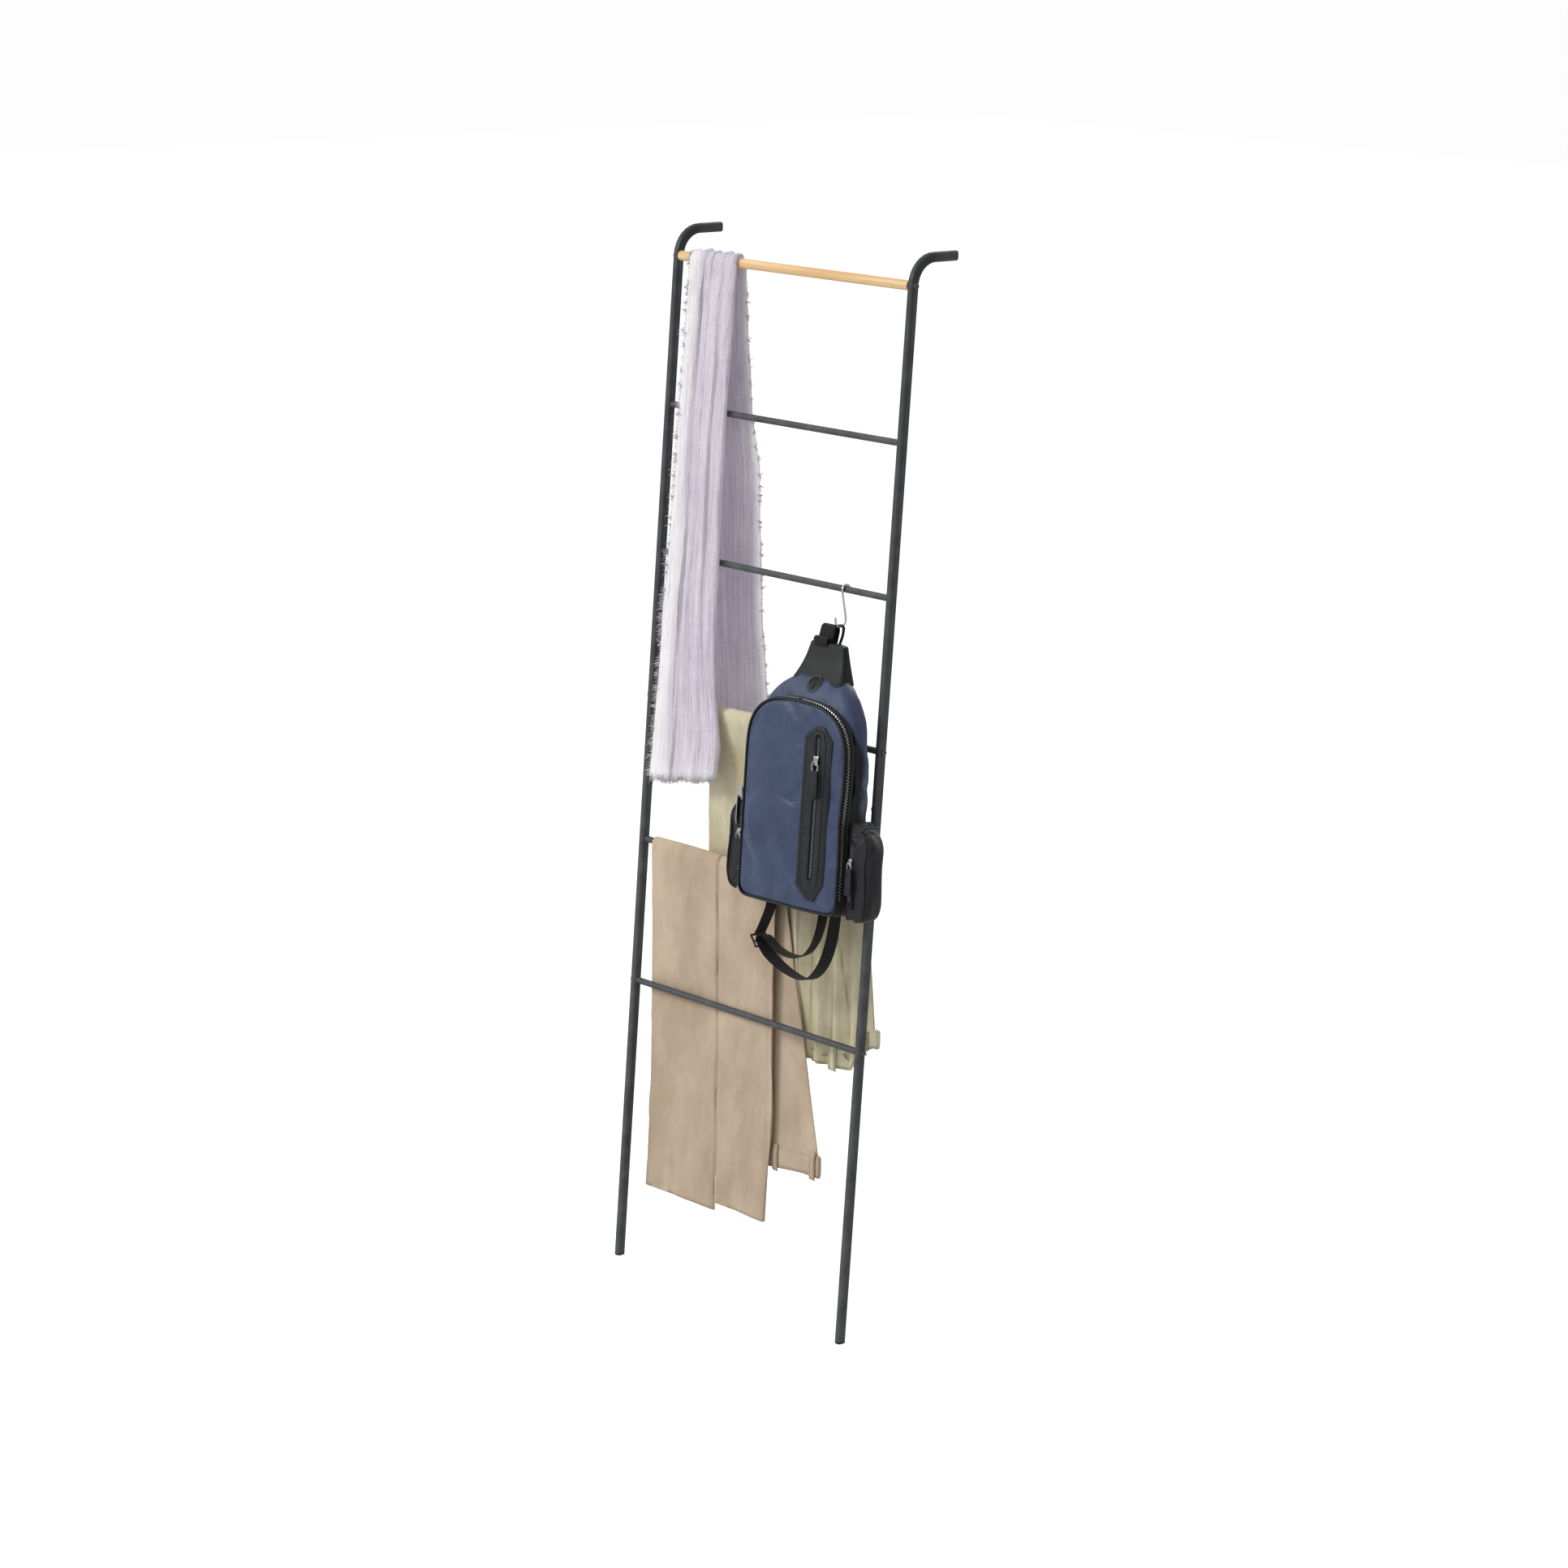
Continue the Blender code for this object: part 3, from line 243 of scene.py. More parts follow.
def makeThreadGroup():
    # crossed threads, with twill lines as the slant grows
    group, put, out = newGroup(
        "crossedThreads",
        [("Vector", "NodeSocketVector", None), ("Threads", "NodeSocketFloat", 900.0),
         ("Slant", "NodeSocketFloat", 0.0)],
        [("Height", "NodeSocketFloat"), ("Slub", "NodeSocketFloat")])
    split = group.nodes.new("ShaderNodeSeparateXYZ")
    group.links.new(put.outputs["Vector"], split.inputs[0])
    across = sums(group, "MULTIPLY", split.outputs[0], put.outputs["Threads"])
    along = sums(group, "MULTIPLY", split.outputs[1], put.outputs["Threads"])
    warp = sums(group, "SINE", sums(group, "MULTIPLY", across, 2 * math.pi))
    weft = sums(group, "SINE", sums(group, "MULTIPLY", along, 2 * math.pi))
    plain = sums(group, "MULTIPLY", warp, weft)
    both = sums(group, "ADD", across, sums(group, "MULTIPLY", along, 0.62))
    twill = sums(group, "SINE", sums(group, "MULTIPLY", both, 2 * math.pi * 0.5))
    keep = sums(group, "SUBTRACT", 1.0, put.outputs["Slant"])
    mixed = sums(group, "ADD", sums(group, "MULTIPLY", plain, keep),
                 sums(group, "MULTIPLY", twill, put.outputs["Slant"]))
    group.links.new(sums(group, "MULTIPLY_ADD", mixed, 0.5, 0.5), out.inputs["Height"])
    slub = cloudy(group, scaled(group, put.outputs["Vector"], (900, 28, 1)), 1.0, 2.0)
    slubAcross = cloudy(group, scaled(group, put.outputs["Vector"], (28, 900, 1)), 1.0, 2.0)
    group.links.new(sums(group, "MULTIPLY_ADD", sums(group, "ADD", slub, slubAcross), 0.5, 0.0),
                    out.inputs["Slub"])
    return group


def makeHideGroup():
    # pebbled grain for leather
    group, put, out = newGroup(
        "hideGrain",
        [("Vector", "NodeSocketVector", None), ("Size", "NodeSocketFloat", 900.0)],
        [("Height", "NodeSocketFloat"), ("Tone", "NodeSocketFloat")])
    cells = group.nodes.new("ShaderNodeTexVoronoi")
    cells.feature = "DISTANCE_TO_EDGE"
    group.links.new(put.outputs["Vector"], cells.inputs["Vector"])
    group.links.new(put.outputs["Size"], cells.inputs["Scale"])
    edge = sums(group, "MULTIPLY", cells.outputs["Distance"], 3.0, clamp=True)
    soft = cloudy(group, put.outputs["Vector"], 60.0, 4.0)
    group.links.new(sums(group, "ADD", edge, sums(group, "MULTIPLY", soft, 0.6)),
                    out.inputs["Height"])
    group.links.new(soft, out.inputs["Tone"])
    return group


def makeWearAndHighlightGroup():
    # lighter patches on high edges, from the shape's own pointedness: partly rubbed wear and dust,
    # partly a painted edge highlight
    group, put, out = newGroup(
        "rubbedAndLitEdges",
        [("Vector", "NodeSocketVector", None), ("Amount", "NodeSocketFloat", 0.5)],
        [("Mask", "NodeSocketFloat")])
    shape = group.nodes.new("ShaderNodeNewGeometry")
    raised = sums(group, "SUBTRACT", shape.outputs["Pointiness"], 0.51)
    raised = sums(group, "MULTIPLY", raised, 9.0, clamp=True)
    patches = cloudy(group, put.outputs["Vector"], 45.0, 5.0)
    patches = sums(group, "MULTIPLY", patches, raised)
    group.links.new(sums(group, "MULTIPLY", patches, put.outputs["Amount"], clamp=True),
                    out.inputs["Mask"])
    return group


threadGroup = makeThreadGroup()
hideGroup = makeHideGroup()
wearAndHighlightGroup = makeWearAndHighlightGroup()


def useGroup(tree, group, vector, **values):
    node = tree.nodes.new("ShaderNodeGroup")
    node.node_tree = group
    tree.links.new(vector, node.inputs["Vector"])
    for label, value in values.items():
        node.inputs[label].default_value = value
    return node


def startMaterial(name, rough, metal=0.0, **extra):
    mat = bpy.data.materials.new(name)
    mat.use_nodes = True
    tree = mat.node_tree
    shader = tree.nodes["Principled BSDF"]
    shader.inputs["Roughness"].default_value = rough
    shader.inputs["Metallic"].default_value = metal
    for label, value in extra.items():
        shader.inputs[label.replace("_", " ")].default_value = value
    place = tree.nodes.new("ShaderNodeTexCoord").outputs["Object"]
    return mat, tree, shader, place


def clothPlace(tree):
    node = tree.nodes.new("ShaderNodeUVMap")
    node.uv_map = "clothUv"
    return node.outputs[0]


def readMark(tree, label):
    node = tree.nodes.new("ShaderNodeAttribute")
    node.attribute_name = label
    return node.outputs["Fac"]


def addBump(tree, shader, layers):
    # each layer is a height, a strength and a distance in metres
    before = None
    for height, strength, distance in layers:
        node = tree.nodes.new("ShaderNodeBump")
        node.inputs["Strength"].default_value = strength
        node.inputs["Distance"].default_value = distance
        tree.links.new(height, node.inputs["Height"])
        if before:
            tree.links.new(before, node.inputs["Normal"])
        before = node.outputs[0]
    tree.links.new(before, shader.inputs["Normal"])


def gauzeFinish(name, palette):
    mat, tree, shader, place = startMaterial(name, 0.95, Sheen_Weight=0.35,
                                             Sheen_Roughness=0.6, Specular_IOR_Level=0.15)
    lie = clothPlace(tree)
    threads = useGroup(tree, threadGroup, lie, Threads=620.0, Slant=0.0)
    crinkle = cloudy(tree, scaled(tree, lie, (150, 26, 1)), 1.0, 4.0, 0.6)
    streak = cloudy(tree, scaled(tree, lie, (260, 5, 1)), 1.0, 3.0, 0.6)
    blotch = cloudy(tree, place, 9.0, 3.0)
    colour = ramp(tree, blotch, [(0.30, palette["deep"]), (0.70, palette["light"])])
    # painted highlight: where the long streaks rise into ridges in the bump below, the colour is
    # drawn paler towards chalk
    lines = sums(tree, "MULTIPLY_ADD", streak, 3.2, -1.25, clamp=True)
    colour = blendColours(tree, sums(tree, "MULTIPLY", lines, 0.75), colour,
                          palette["chalk"])
    dark = ramp(tree, threads.outputs["Slub"], [(0.35, (0.80, 0.80, 0.82)), (0.6, (1, 1, 1))])
    colour = blendColours(tree, 1.0, colour, dark, "MULTIPLY")
    pale = sums(tree, "MULTIPLY", readMark(tree, "paleEdge"), 1.0, clamp=True)
    colour = blendColours(tree, pale, colour, palette["white"])
    tree.links.new(colour, shader.inputs["Base Color"])
    # painted glow: the gauze's own colour is also given off as a faint emission, so the throw
    # glows a little though it is no lamp
    tree.links.new(colour, shader.inputs["Emission Color"])
    shader.inputs["Emission Strength"].default_value = 0.13
    addBump(tree, shader, [(streak, 0.85, 0.0050), (crinkle, 0.80, 0.0036),
                           (threads.outputs["Height"], 0.45, 0.0005)])
    return mat


def twillFinish(name, palette, threadsPerMetre=720.0):
    mat, tree, shader, place = startMaterial(name, 0.88, Sheen_Weight=0.18,
                                             Sheen_Roughness=0.5, Specular_IOR_Level=0.25)
    lie = clothPlace(tree)
    threads = useGroup(tree, threadGroup, lie, Threads=threadsPerMetre, Slant=0.8)
    cloud = cloudy(tree, scaled(tree, place, (1, 1, 0.55)), 14.0, 4.0, 0.6)
    fine = cloudy(tree, place, 220.0, 2.0)
    # painted shade: large soft blotches from deep to light stand in for the shading of shallow
    # wrinkles
    colour = ramp(tree, cloud, [(0.38, palette["deep"]), (0.62, palette["light"])])
    colour = blendColours(tree, sums(tree, "MULTIPLY", fine, 0.25), colour, palette["chalk"])
    # dark lines: real seams and stitching, and on the khaki also painted shade in the gaps between
    # folds
    seamAndShade = readMark(tree, "seamAndShadeMark")
    colour = blendColours(tree, sums(tree, "MULTIPLY", seamAndShade, 0.75, clamp=True), colour,
                          palette["seamAndShade"])
    tree.links.new(colour, shader.inputs["Base Color"])
    soft = cloudy(tree, scaled(tree, place, (1, 1, 0.5)), 17.0, 3.0, 0.5)
    addBump(tree, shader, [(soft, 0.60, 0.0150), (threads.outputs["Slub"], 0.30, 0.0008),
                           (threads.outputs["Height"], 0.35, 0.0004)])
    return mat


def nylonFinish(name, palette, rough=0.42, sheen=0.14):
    mat, tree, shader, place = startMaterial(name, rough, Sheen_Weight=sheen,
                                             Sheen_Roughness=0.35, Specular_IOR_Level=0.36)
    lie = clothPlace(tree)
    threads = useGroup(tree, threadGroup, lie, Threads=1250.0, Slant=0.15)
    cloud = cloudy(tree, place, 16.0, 3.0)
    colour = ramp(tree, cloud, [(0.30, palette["deep"]), (0.72, palette["light"])])
    # painted highlight: the thread crowns that the weave bump raises are drawn paler towards chalk
    colour = blendColours(tree, sums(tree, "MULTIPLY", threads.outputs["Height"], 0.18),
                          colour, palette["chalk"])
    colour = blendColours(tree, readMark(tree, "inkMark"), colour, palette.get("ink", (0, 0, 0)))
    tree.links.new(colour, shader.inputs["Base Color"])
    rub = cloudy(tree, scaled(tree, place, (1, 1, 0.5)), 30.0, 3.0)
    tree.links.new(sums(tree, "MULTIPLY_ADD", rub, 0.22, rough - 0.11),
                   shader.inputs["Roughness"])
    soft = cloudy(tree, scaled(tree, place, (1, 1, 0.6)), 26.0, 3.0, 0.5)
    addBump(tree, shader, [(soft, 0.42, 0.0080), (threads.outputs["Height"], 0.25, 0.0003)])
    return mat


def webbingFinish(name, palette):
    mat, tree, shader, _ = startMaterial(name, 0.72, Sheen_Weight=0.12,
                                         Specular_IOR_Level=0.2)
    lie = clothPlace(tree)
    threads = useGroup(tree, threadGroup, lie, Threads=520.0, Slant=0.35)
    colour = ramp(tree, threads.outputs["Slub"], [(0.3, palette["deep"]),
                                                  (0.7, palette["light"])])
    tree.links.new(colour, shader.inputs["Base Color"])
    addBump(tree, shader, [(threads.outputs["Height"], 0.7, 0.0005)])
    return mat


def hideFinish(name, palette, rough=0.40, grain=780.0):
    mat, tree, shader, place = startMaterial(name, rough, Specular_IOR_Level=0.22,
                                             Coat_Weight=0.06, Coat_Roughness=0.35)
    skin = useGroup(tree, hideGroup, place, Size=grain)
    wornAndLit = useGroup(tree, wearAndHighlightGroup, place, Amount=0.8)
    colour = ramp(tree, skin.outputs["Tone"], [(0.3, palette["deep"]), (0.7, palette["light"])])
    # the high edges are drawn lighter: partly rubbed wear, partly a painted edge highlight
    colour = blendColours(tree, wornAndLit.outputs["Mask"], colour, palette["wornAndLit"])
    tree.links.new(colour, shader.inputs["Base Color"])
    tree.links.new(sums(tree, "MULTIPLY_ADD", skin.outputs["Tone"], 0.25, rough - 0.12),
                   shader.inputs["Roughness"])
    addBump(tree, shader, [(skin.outputs["Height"], 0.35, 0.0004)])
    return mat


def coatFinish(name, palette, rough=0.42):
    # fine powder coat, with its edges drawn lighter: partly bare wear, partly a painted edge
    # highlight
    mat, tree, shader, place = startMaterial(name, rough, 0.0, Specular_IOR_Level=0.34)
    speck = cloudy(tree, place, 1400.0, 2.0)
    wide = cloudy(tree, place, 22.0, 4.0)
    wornAndLit = useGroup(tree, wearAndHighlightGroup, place, Amount=0.9)
    colour = ramp(tree, wide, [(0.3, palette["deep"]), (0.7, palette["light"])])
    colour = blendColours(tree, sums(tree, "MULTIPLY", speck, 0.22), colour, palette["chalk"])
    colour = blendColours(tree, wornAndLit.outputs["Mask"], colour, palette["wornAndLit"])
    tree.links.new(colour, shader.inputs["Base Color"])
    tree.links.new(sums(tree, "MULTIPLY_ADD", speck, 0.16, rough - 0.06),
                   shader.inputs["Roughness"])
    addBump(tree, shader, [(speck, 0.30, 0.00025)])
    return mat


def woodFinish(name, palette):
    mat, tree, shader, place = startMaterial(name, 0.42, Specular_IOR_Level=0.4,
                                             Coat_Weight=0.15, Coat_Roughness=0.3)
    long = scaled(tree, place, (2.2, 95, 95))
    rings = cloudy(tree, long, 1.6, 5.0, 0.6)
    pores = cloudy(tree, scaled(tree, place, (30, 900, 900)), 1.0, 2.0)
    sweep = cloudy(tree, scaled(tree, place, (1.2, 14, 14)), 1.4, 2.0)
    colour = ramp(tree, rings, [(0.28, palette["late"]), (0.46, palette["early"]),
                                (0.60, palette["pale"]), (0.78, palette["early"])])
    colour = blendColours(tree, sums(tree, "MULTIPLY", sweep, 0.45), colour, palette["warm"])
    colour = blendColours(tree, sums(tree, "MULTIPLY", sums(tree, "GREATER_THAN", pores, 0.62),
                                     0.35), colour, palette["late"])
    tree.links.new(colour, shader.inputs["Base Color"])
    addBump(tree, shader, [(rings, 0.15, 0.0006), (pores, 0.25, 0.0003)])
    return mat


def metalFinish(name, colour, rough, scratch=0.25, metal=1.0):
    mat, tree, shader, place = startMaterial(name, rough, metal)
    lines = cloudy(tree, scaled(tree, place, (260, 260, 2600)), 1.0, 3.0)
    smear = cloudy(tree, place, 120.0, 3.0)
    tint = ramp(tree, smear, [(0.3, tuple(c * 0.82 for c in colour)), (0.7, colour)])
    tree.links.new(tint, shader.inputs["Base Color"])
    tree.links.new(sums(tree, "MULTIPLY_ADD", lines, scratch, max(rough - scratch / 2, 0.02)),
                   shader.inputs["Roughness"])
    addBump(tree, shader, [(lines, 0.08, 0.0002)])
    return mat


finishes = {
    # the worn colours are drawn on high edges: partly wear, partly a painted edge highlight
    "black_coat": coatFinish("charcoalPowderCoat", {
        "deep": (0.013, 0.015, 0.0165), "light": (0.023, 0.026, 0.028),
        "chalk": (0.046, 0.051, 0.056), "wornAndLit": (0.15, 0.16, 0.17)}),
    "black_plug": coatFinish("mouldedCap", {
        "deep": (0.013, 0.014, 0.015), "light": (0.022, 0.024, 0.026),
        "chalk": (0.042, 0.044, 0.047), "wornAndLit": (0.09, 0.09, 0.10)}, 0.55),
    "dark_bolt": metalFinish("blackenedBolt", (0.11, 0.115, 0.12), 0.36, 0.2, 0.7),
    "bar_wood": woodFinish("oiledBeech", {
        "late": (0.58, 0.32, 0.125), "early": (0.80, 0.53, 0.27),
        "pale": (0.90, 0.67, 0.40), "warm": (0.80, 0.48, 0.20)}),
    "zinc_steel": metalFinish("zincPlate", (0.55, 0.56, 0.58), 0.38),
    "lilac_gauze": gauzeFinish("lilacGauze", {
        "deep": (0.53, 0.455, 0.575), "light": (0.69, 0.635, 0.725),
        "chalk": (0.86, 0.83, 0.89), "white": (0.93, 0.92, 0.935)}),
    # the seam colours draw real seams and, on the khaki, painted shade in the gaps between folds
    "khaki_twill": twillFinish("khakiTwill", {
        "deep": (0.50, 0.445, 0.285), "light": (0.70, 0.645, 0.455),
        "chalk": (0.78, 0.735, 0.56), "seamAndShade": (0.20, 0.165, 0.09)}),
    "beige_twill": twillFinish("beigeTwill", {
        "deep": (0.47, 0.36, 0.255), "light": (0.60, 0.475, 0.35),
        "chalk": (0.68, 0.56, 0.43), "seamAndShade": (0.33, 0.22, 0.14)}),
    "polished_wire": metalFinish("polishedWire", (0.78, 0.78, 0.80), 0.13, 0.08),
    "navy_nylon": nylonFinish("navyNylon", {
        "deep": (0.026, 0.043, 0.098), "light": (0.048, 0.074, 0.150),
        "chalk": (0.100, 0.135, 0.235), "ink": (0.006, 0.0065, 0.008)}),
    "ink_nylon": nylonFinish("inkNylon", {
        "deep": (0.0065, 0.0065, 0.009), "light": (0.013, 0.013, 0.017),
        "chalk": (0.026, 0.026, 0.032)}, 0.5),
    "black_leather": hideFinish("blackHide", {
        "deep": (0.0050, 0.0062, 0.007), "light": (0.012, 0.015, 0.017),
        "wornAndLit": (0.11, 0.12, 0.13)}),
    "black_webbing": webbingFinish("blackWebbing", {
        "deep": (0.0045, 0.0045, 0.0055), "light": (0.012, 0.012, 0.014)}),
    "zip_coil": webbingFinish("zipTape", {
        "deep": (0.004, 0.004, 0.005), "light": (0.012, 0.012, 0.014)}),
    "zip_metal": metalFinish("nickelZip", (0.62, 0.62, 0.63), 0.24),
    "buckle_plastic": coatFinish("mouldedBuckle", {
        "deep": (0.012, 0.012, 0.014), "light": (0.022, 0.022, 0.025),
        "chalk": (0.040, 0.040, 0.045), "wornAndLit": (0.10, 0.10, 0.11)}, 0.36),
}
print("materials ready:", len(finishes))

for part in frame["record"]["subparts"]:
    solidNode = bpy.data.objects.get(part["node"])
    if solidNode:
        solidNode.data.materials.clear()
        solidNode.data.materials.append(finishes[part["material_slot"]])


# making and finishing pieces

def lengthsAlong(line):
    return np.r_[0, np.cumsum(np.linalg.norm(np.diff(line, axis=0), axis=1))]


def pointAt(s, far, line):
    return np.array([np.interp(s, far, line[:, k]) for k in range(line.shape[1])])


def curveThrough(points, count, closed=False):
    # even points on a smooth curve through the given ones
    pts = np.array([tuple(p) for p in points], float)
    if closed:
        pts = np.vstack([pts[-1:], pts, pts[:2]])
    else:
        pts = np.vstack([2 * pts[0] - pts[1], pts, 2 * pts[-1] - pts[-2]])
    dense = []
    for i in range(1, len(pts) - 2):
        a, b, c, d = pts[i - 1:i + 3]
        for t in np.linspace(0, 1, 12, endpoint=False):
            dense.append(0.5 * (2 * b + (c - a) * t + (2 * a - 5 * b + 4 * c - d) * t * t
                                + (3 * b - a - 3 * c + d) * t ** 3))
    dense.append(pts[-2])
    dense = np.array(dense)
    steps = lengthsAlong(dense)
    wanted = np.linspace(0, steps[-1], count + (1 if closed else 0))
    even = np.column_stack([np.interp(wanted, steps, dense[:, k])
                            for k in range(dense.shape[1])])
    return even[:-1] if closed else even


def hangingPath(path, samples, rowStep):
    # at even steps along rows of y, z and more: distance, place, way ahead, way out, the rest
    far = lengthsAlong(path[:, :2])
    line = curveThrough(path[:, :2], samples)
    lineFar = lengthsAlong(line)
    lineFar *= far[-1] / lineFar[-1]
    found = []
    for s in np.linspace(0, far[-1], int(far[-1] / rowStep)):
        ahead = pointAt(s + 0.002, lineFar, line) - pointAt(s - 0.002, lineFar, line)
        ahead /= np.linalg.norm(ahead)
        found.append((s, pointAt(s, lineFar, line), ahead, (-ahead[1], ahead[0]),
                      pointAt(s, far, path[:, 2:])))
    return found


def clothSkin(name, rows, finish, wrap=False, ends=False, marks=None):
    # rows of points, as a mesh with a map in metres
    high, wide = len(rows), len(rows[0])
    flatPoints = np.array(rows, float).reshape(-1, 3)
    grid = flatPoints.reshape(high, wide, 3)
    closing = np.concatenate([grid, grid[:, :1]], axis=1) if wrap else grid
    along = np.r_[0, np.cumsum(np.linalg.norm(np.diff(grid, axis=0), axis=2).mean(axis=1))]
    across = np.r_[0, np.cumsum(np.linalg.norm(np.diff(closing, axis=1), axis=2).mean(axis=0))]
    mesh = bpy.data.meshes.new(name)
    verts = [tuple(p) for p in flatPoints]
    faces, maps = [], []
    for i in range(high - 1):
        for j in range(wide if wrap else wide - 1):
            k = (j + 1) % wide
            faces.append((i * wide + j, i * wide + k, (i + 1) * wide + k, (i + 1) * wide + j))
            maps += [(across[j], along[i]), (across[j + 1], along[i]),
                     (across[j + 1], along[i + 1]), (across[j], along[i + 1])]
    if ends and wrap:
        for i, turned in ((0, True), (high - 1, False)):
            centre = len(verts)
            verts.append(tuple(grid[i].mean(axis=0)))
            for j in range(wide):
                k = (j + 1) % wide
                pair = (i * wide + k, i * wide + j) if turned else (i * wide + j, i * wide + k)
                faces.append((*pair, centre))
                maps += [(across[j], along[i])] * 3
    mesh.from_pydata(verts, [], faces)
    layer = mesh.uv_layers.new(name="clothUv")
    layer.data.foreach_set("uv", np.array(maps, float).ravel())
    for label, values in (marks or {}).items():
        made = mesh.attributes.new(label, "FLOAT", "POINT")
        full = np.zeros(len(verts))
        given = np.array(values, float).ravel()
        full[:len(given)] = given
        made.data.foreach_set("value", full)
    piece = newPiece(name, mesh, finish)
    shadeSmooth(piece)
    return piece


def faceOut(piece):
    work = bmesh.new()
    work.from_mesh(piece.data)
    bmesh.ops.remove_doubles(work, verts=work.verts, dist=1e-6)
    bmesh.ops.recalc_face_normals(work, faces=work.faces)
    work.to_mesh(piece.data)
    work.free()


def newPiece(name, mesh, finish):
    mesh.materials.append(finish)
    piece = bpy.data.objects.new(name, mesh)
    scene.collection.objects.link(piece)
    return piece


def pieceFrom(name, work, finish):
    # turns drawn faces outwards and makes a piece of them
    bmesh.ops.recalc_face_normals(work, faces=work.faces)
    mesh = bpy.data.meshes.new(name)
    work.to_mesh(mesh)
    work.free()
    return newPiece(name, mesh, finish)


def shadeSmooth(piece):
    for face in piece.data.polygons:
        face.use_smooth = True


def shadeByAngle(piece, angle=0.6):
    pickOnly(piece)
    bpy.ops.object.shade_smooth_by_angle(angle=angle)


def roundEdges(piece, width, segments, sharpest=math.radians(30)):
    step = piece.modifiers.new("softEdge", "BEVEL")
    step.width = width
    step.segments = segments
    step.limit_method = "ANGLE"
    step.angle_limit = sharpest
    applyAll(piece)


def smoothOnce(piece):
    step = piece.modifiers.new("soft", "SUBSURF")
    step.levels = step.render_levels = 1
    applyAll(piece)


def applyAll(piece):
    pickOnly(piece)
    for step in list(piece.modifiers):
        bpy.ops.object.modifier_apply(modifier=step.name)


def finishPiece(piece, body, slotName, *nodes):
    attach(piece, body)
    if nodes:
        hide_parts(*nodes)
    return piece


def relaxCloth(piece, heldPoints, frames=18, pressure=0.0, looser=0.0, cap=0.008,
               gravity=0.0, stiffness=12.0, bending=0.4):
    # a short cloth run with some points held, then its result is written to the mesh
    count = len(piece.data.vertices)
    before = np.empty(count * 3)
    piece.data.vertices.foreach_get("co", before)
    before = before.reshape(-1, 3)
    group = piece.vertex_groups.new(name="held")
    group.add([int(i) for i in heldPoints], 1.0, "REPLACE")
    step = piece.modifiers.new("cloth", "CLOTH")
    how = step.settings
    how.quality = 5
    how.mass = 0.15
    how.tension_stiffness = how.compression_stiffness = stiffness
    how.shear_stiffness = stiffness * 0.6
    how.bending_stiffness = bending
    how.vertex_group_mass = "held"
    how.pin_stiffness = 1.0
    how.use_pressure = pressure != 0
    how.uniform_pressure_force = pressure
    how.shrink_min = -looser
    how.effector_weights.gravity = gravity
    step.collision_settings.use_collision = False
    step.point_cache.frame_start = 1
    step.point_cache.frame_end = frames + 1
    for k in range(1, frames + 1):
        scene.frame_set(k)
    shaped = piece.evaluated_get(bpy.context.evaluated_depsgraph_get())
    after = np.empty(count * 3)
    shaped.data.vertices.foreach_get("co", after)
    moved = after.reshape(-1, 3) - before
    far = np.linalg.norm(moved, axis=1, keepdims=True)
    moved *= np.minimum(1.0, cap / np.maximum(far, 1e-9))
    piece.modifiers.remove(step)
    piece.vertex_groups.remove(group)
    piece.data.vertices.foreach_set("co", (before + moved).ravel())
    piece.data.update()
    scene.frame_set(1)
    print("  cloth run on", piece.name, "moved up to %.1f mm" % (1000 * min(far.max(), cap)))


def roundCord(name, points, radius, finish, sides=3, closed=False, count=None):
    # piping and wire, from a curve with a round bevel
    line = curveThrough(points, count or len(points) * 3, closed)
    data = bpy.data.curves.new(name, "CURVE")
    data.dimensions = "3D"
    spline = data.splines.new("POLY")
    spline.points.add(len(line) - 1)
    for point, where in zip(spline.points, line):
        point.co = (*where, 1)
    spline.use_cyclic_u = closed
    data.bevel_depth = radius
    data.bevel_resolution = sides
    data.use_fill_caps = not closed
    piece = bpy.data.objects.new(name, data)
    scene.collection.objects.link(piece)
    pickOnly(piece)
    bpy.ops.object.convert(target="MESH")
    piece = bpy.context.object
    piece.data.materials.clear()
    piece.data.materials.append(finish)
    faceOut(piece)
    shadeSmooth(piece)
    return piece


def joinPieces(name, pieces):
    deselectAll()
    for piece in pieces:
        piece.select_set(True)
    bpy.context.view_layer.objects.active = pieces[0]
    if len(pieces) > 1:
        bpy.ops.object.join()
    joined = bpy.context.object
    joined.name = name
    joined.data.name = name
    return joined


def wobble(x, y, z=0.0):
    return noise.noise(Vector((x, y, z)))


def between(a, b, t):
    return a + (b - a) * t


def easeIn(t):
    t = min(max(t, 0.0), 1.0)
    return t * t * (3 - 2 * t)


# the throw over the wooden bar

throw = {
    "thickness": 0.0011,
    "wide": 112,
    "rowStep": 0.0085,
    "flat": (0.44, 1.57),
    "offBar": 0.0083,
    "offRungs": 0.0062,
    "hemRise": 0.024,
    "hemRiseFrom": 0.34,
    "crinkles": ((0.0012, 150, 22, 5.0), (0.0007, 420, 60, 2), (0.0016, 45, 9, 7.0)),
}


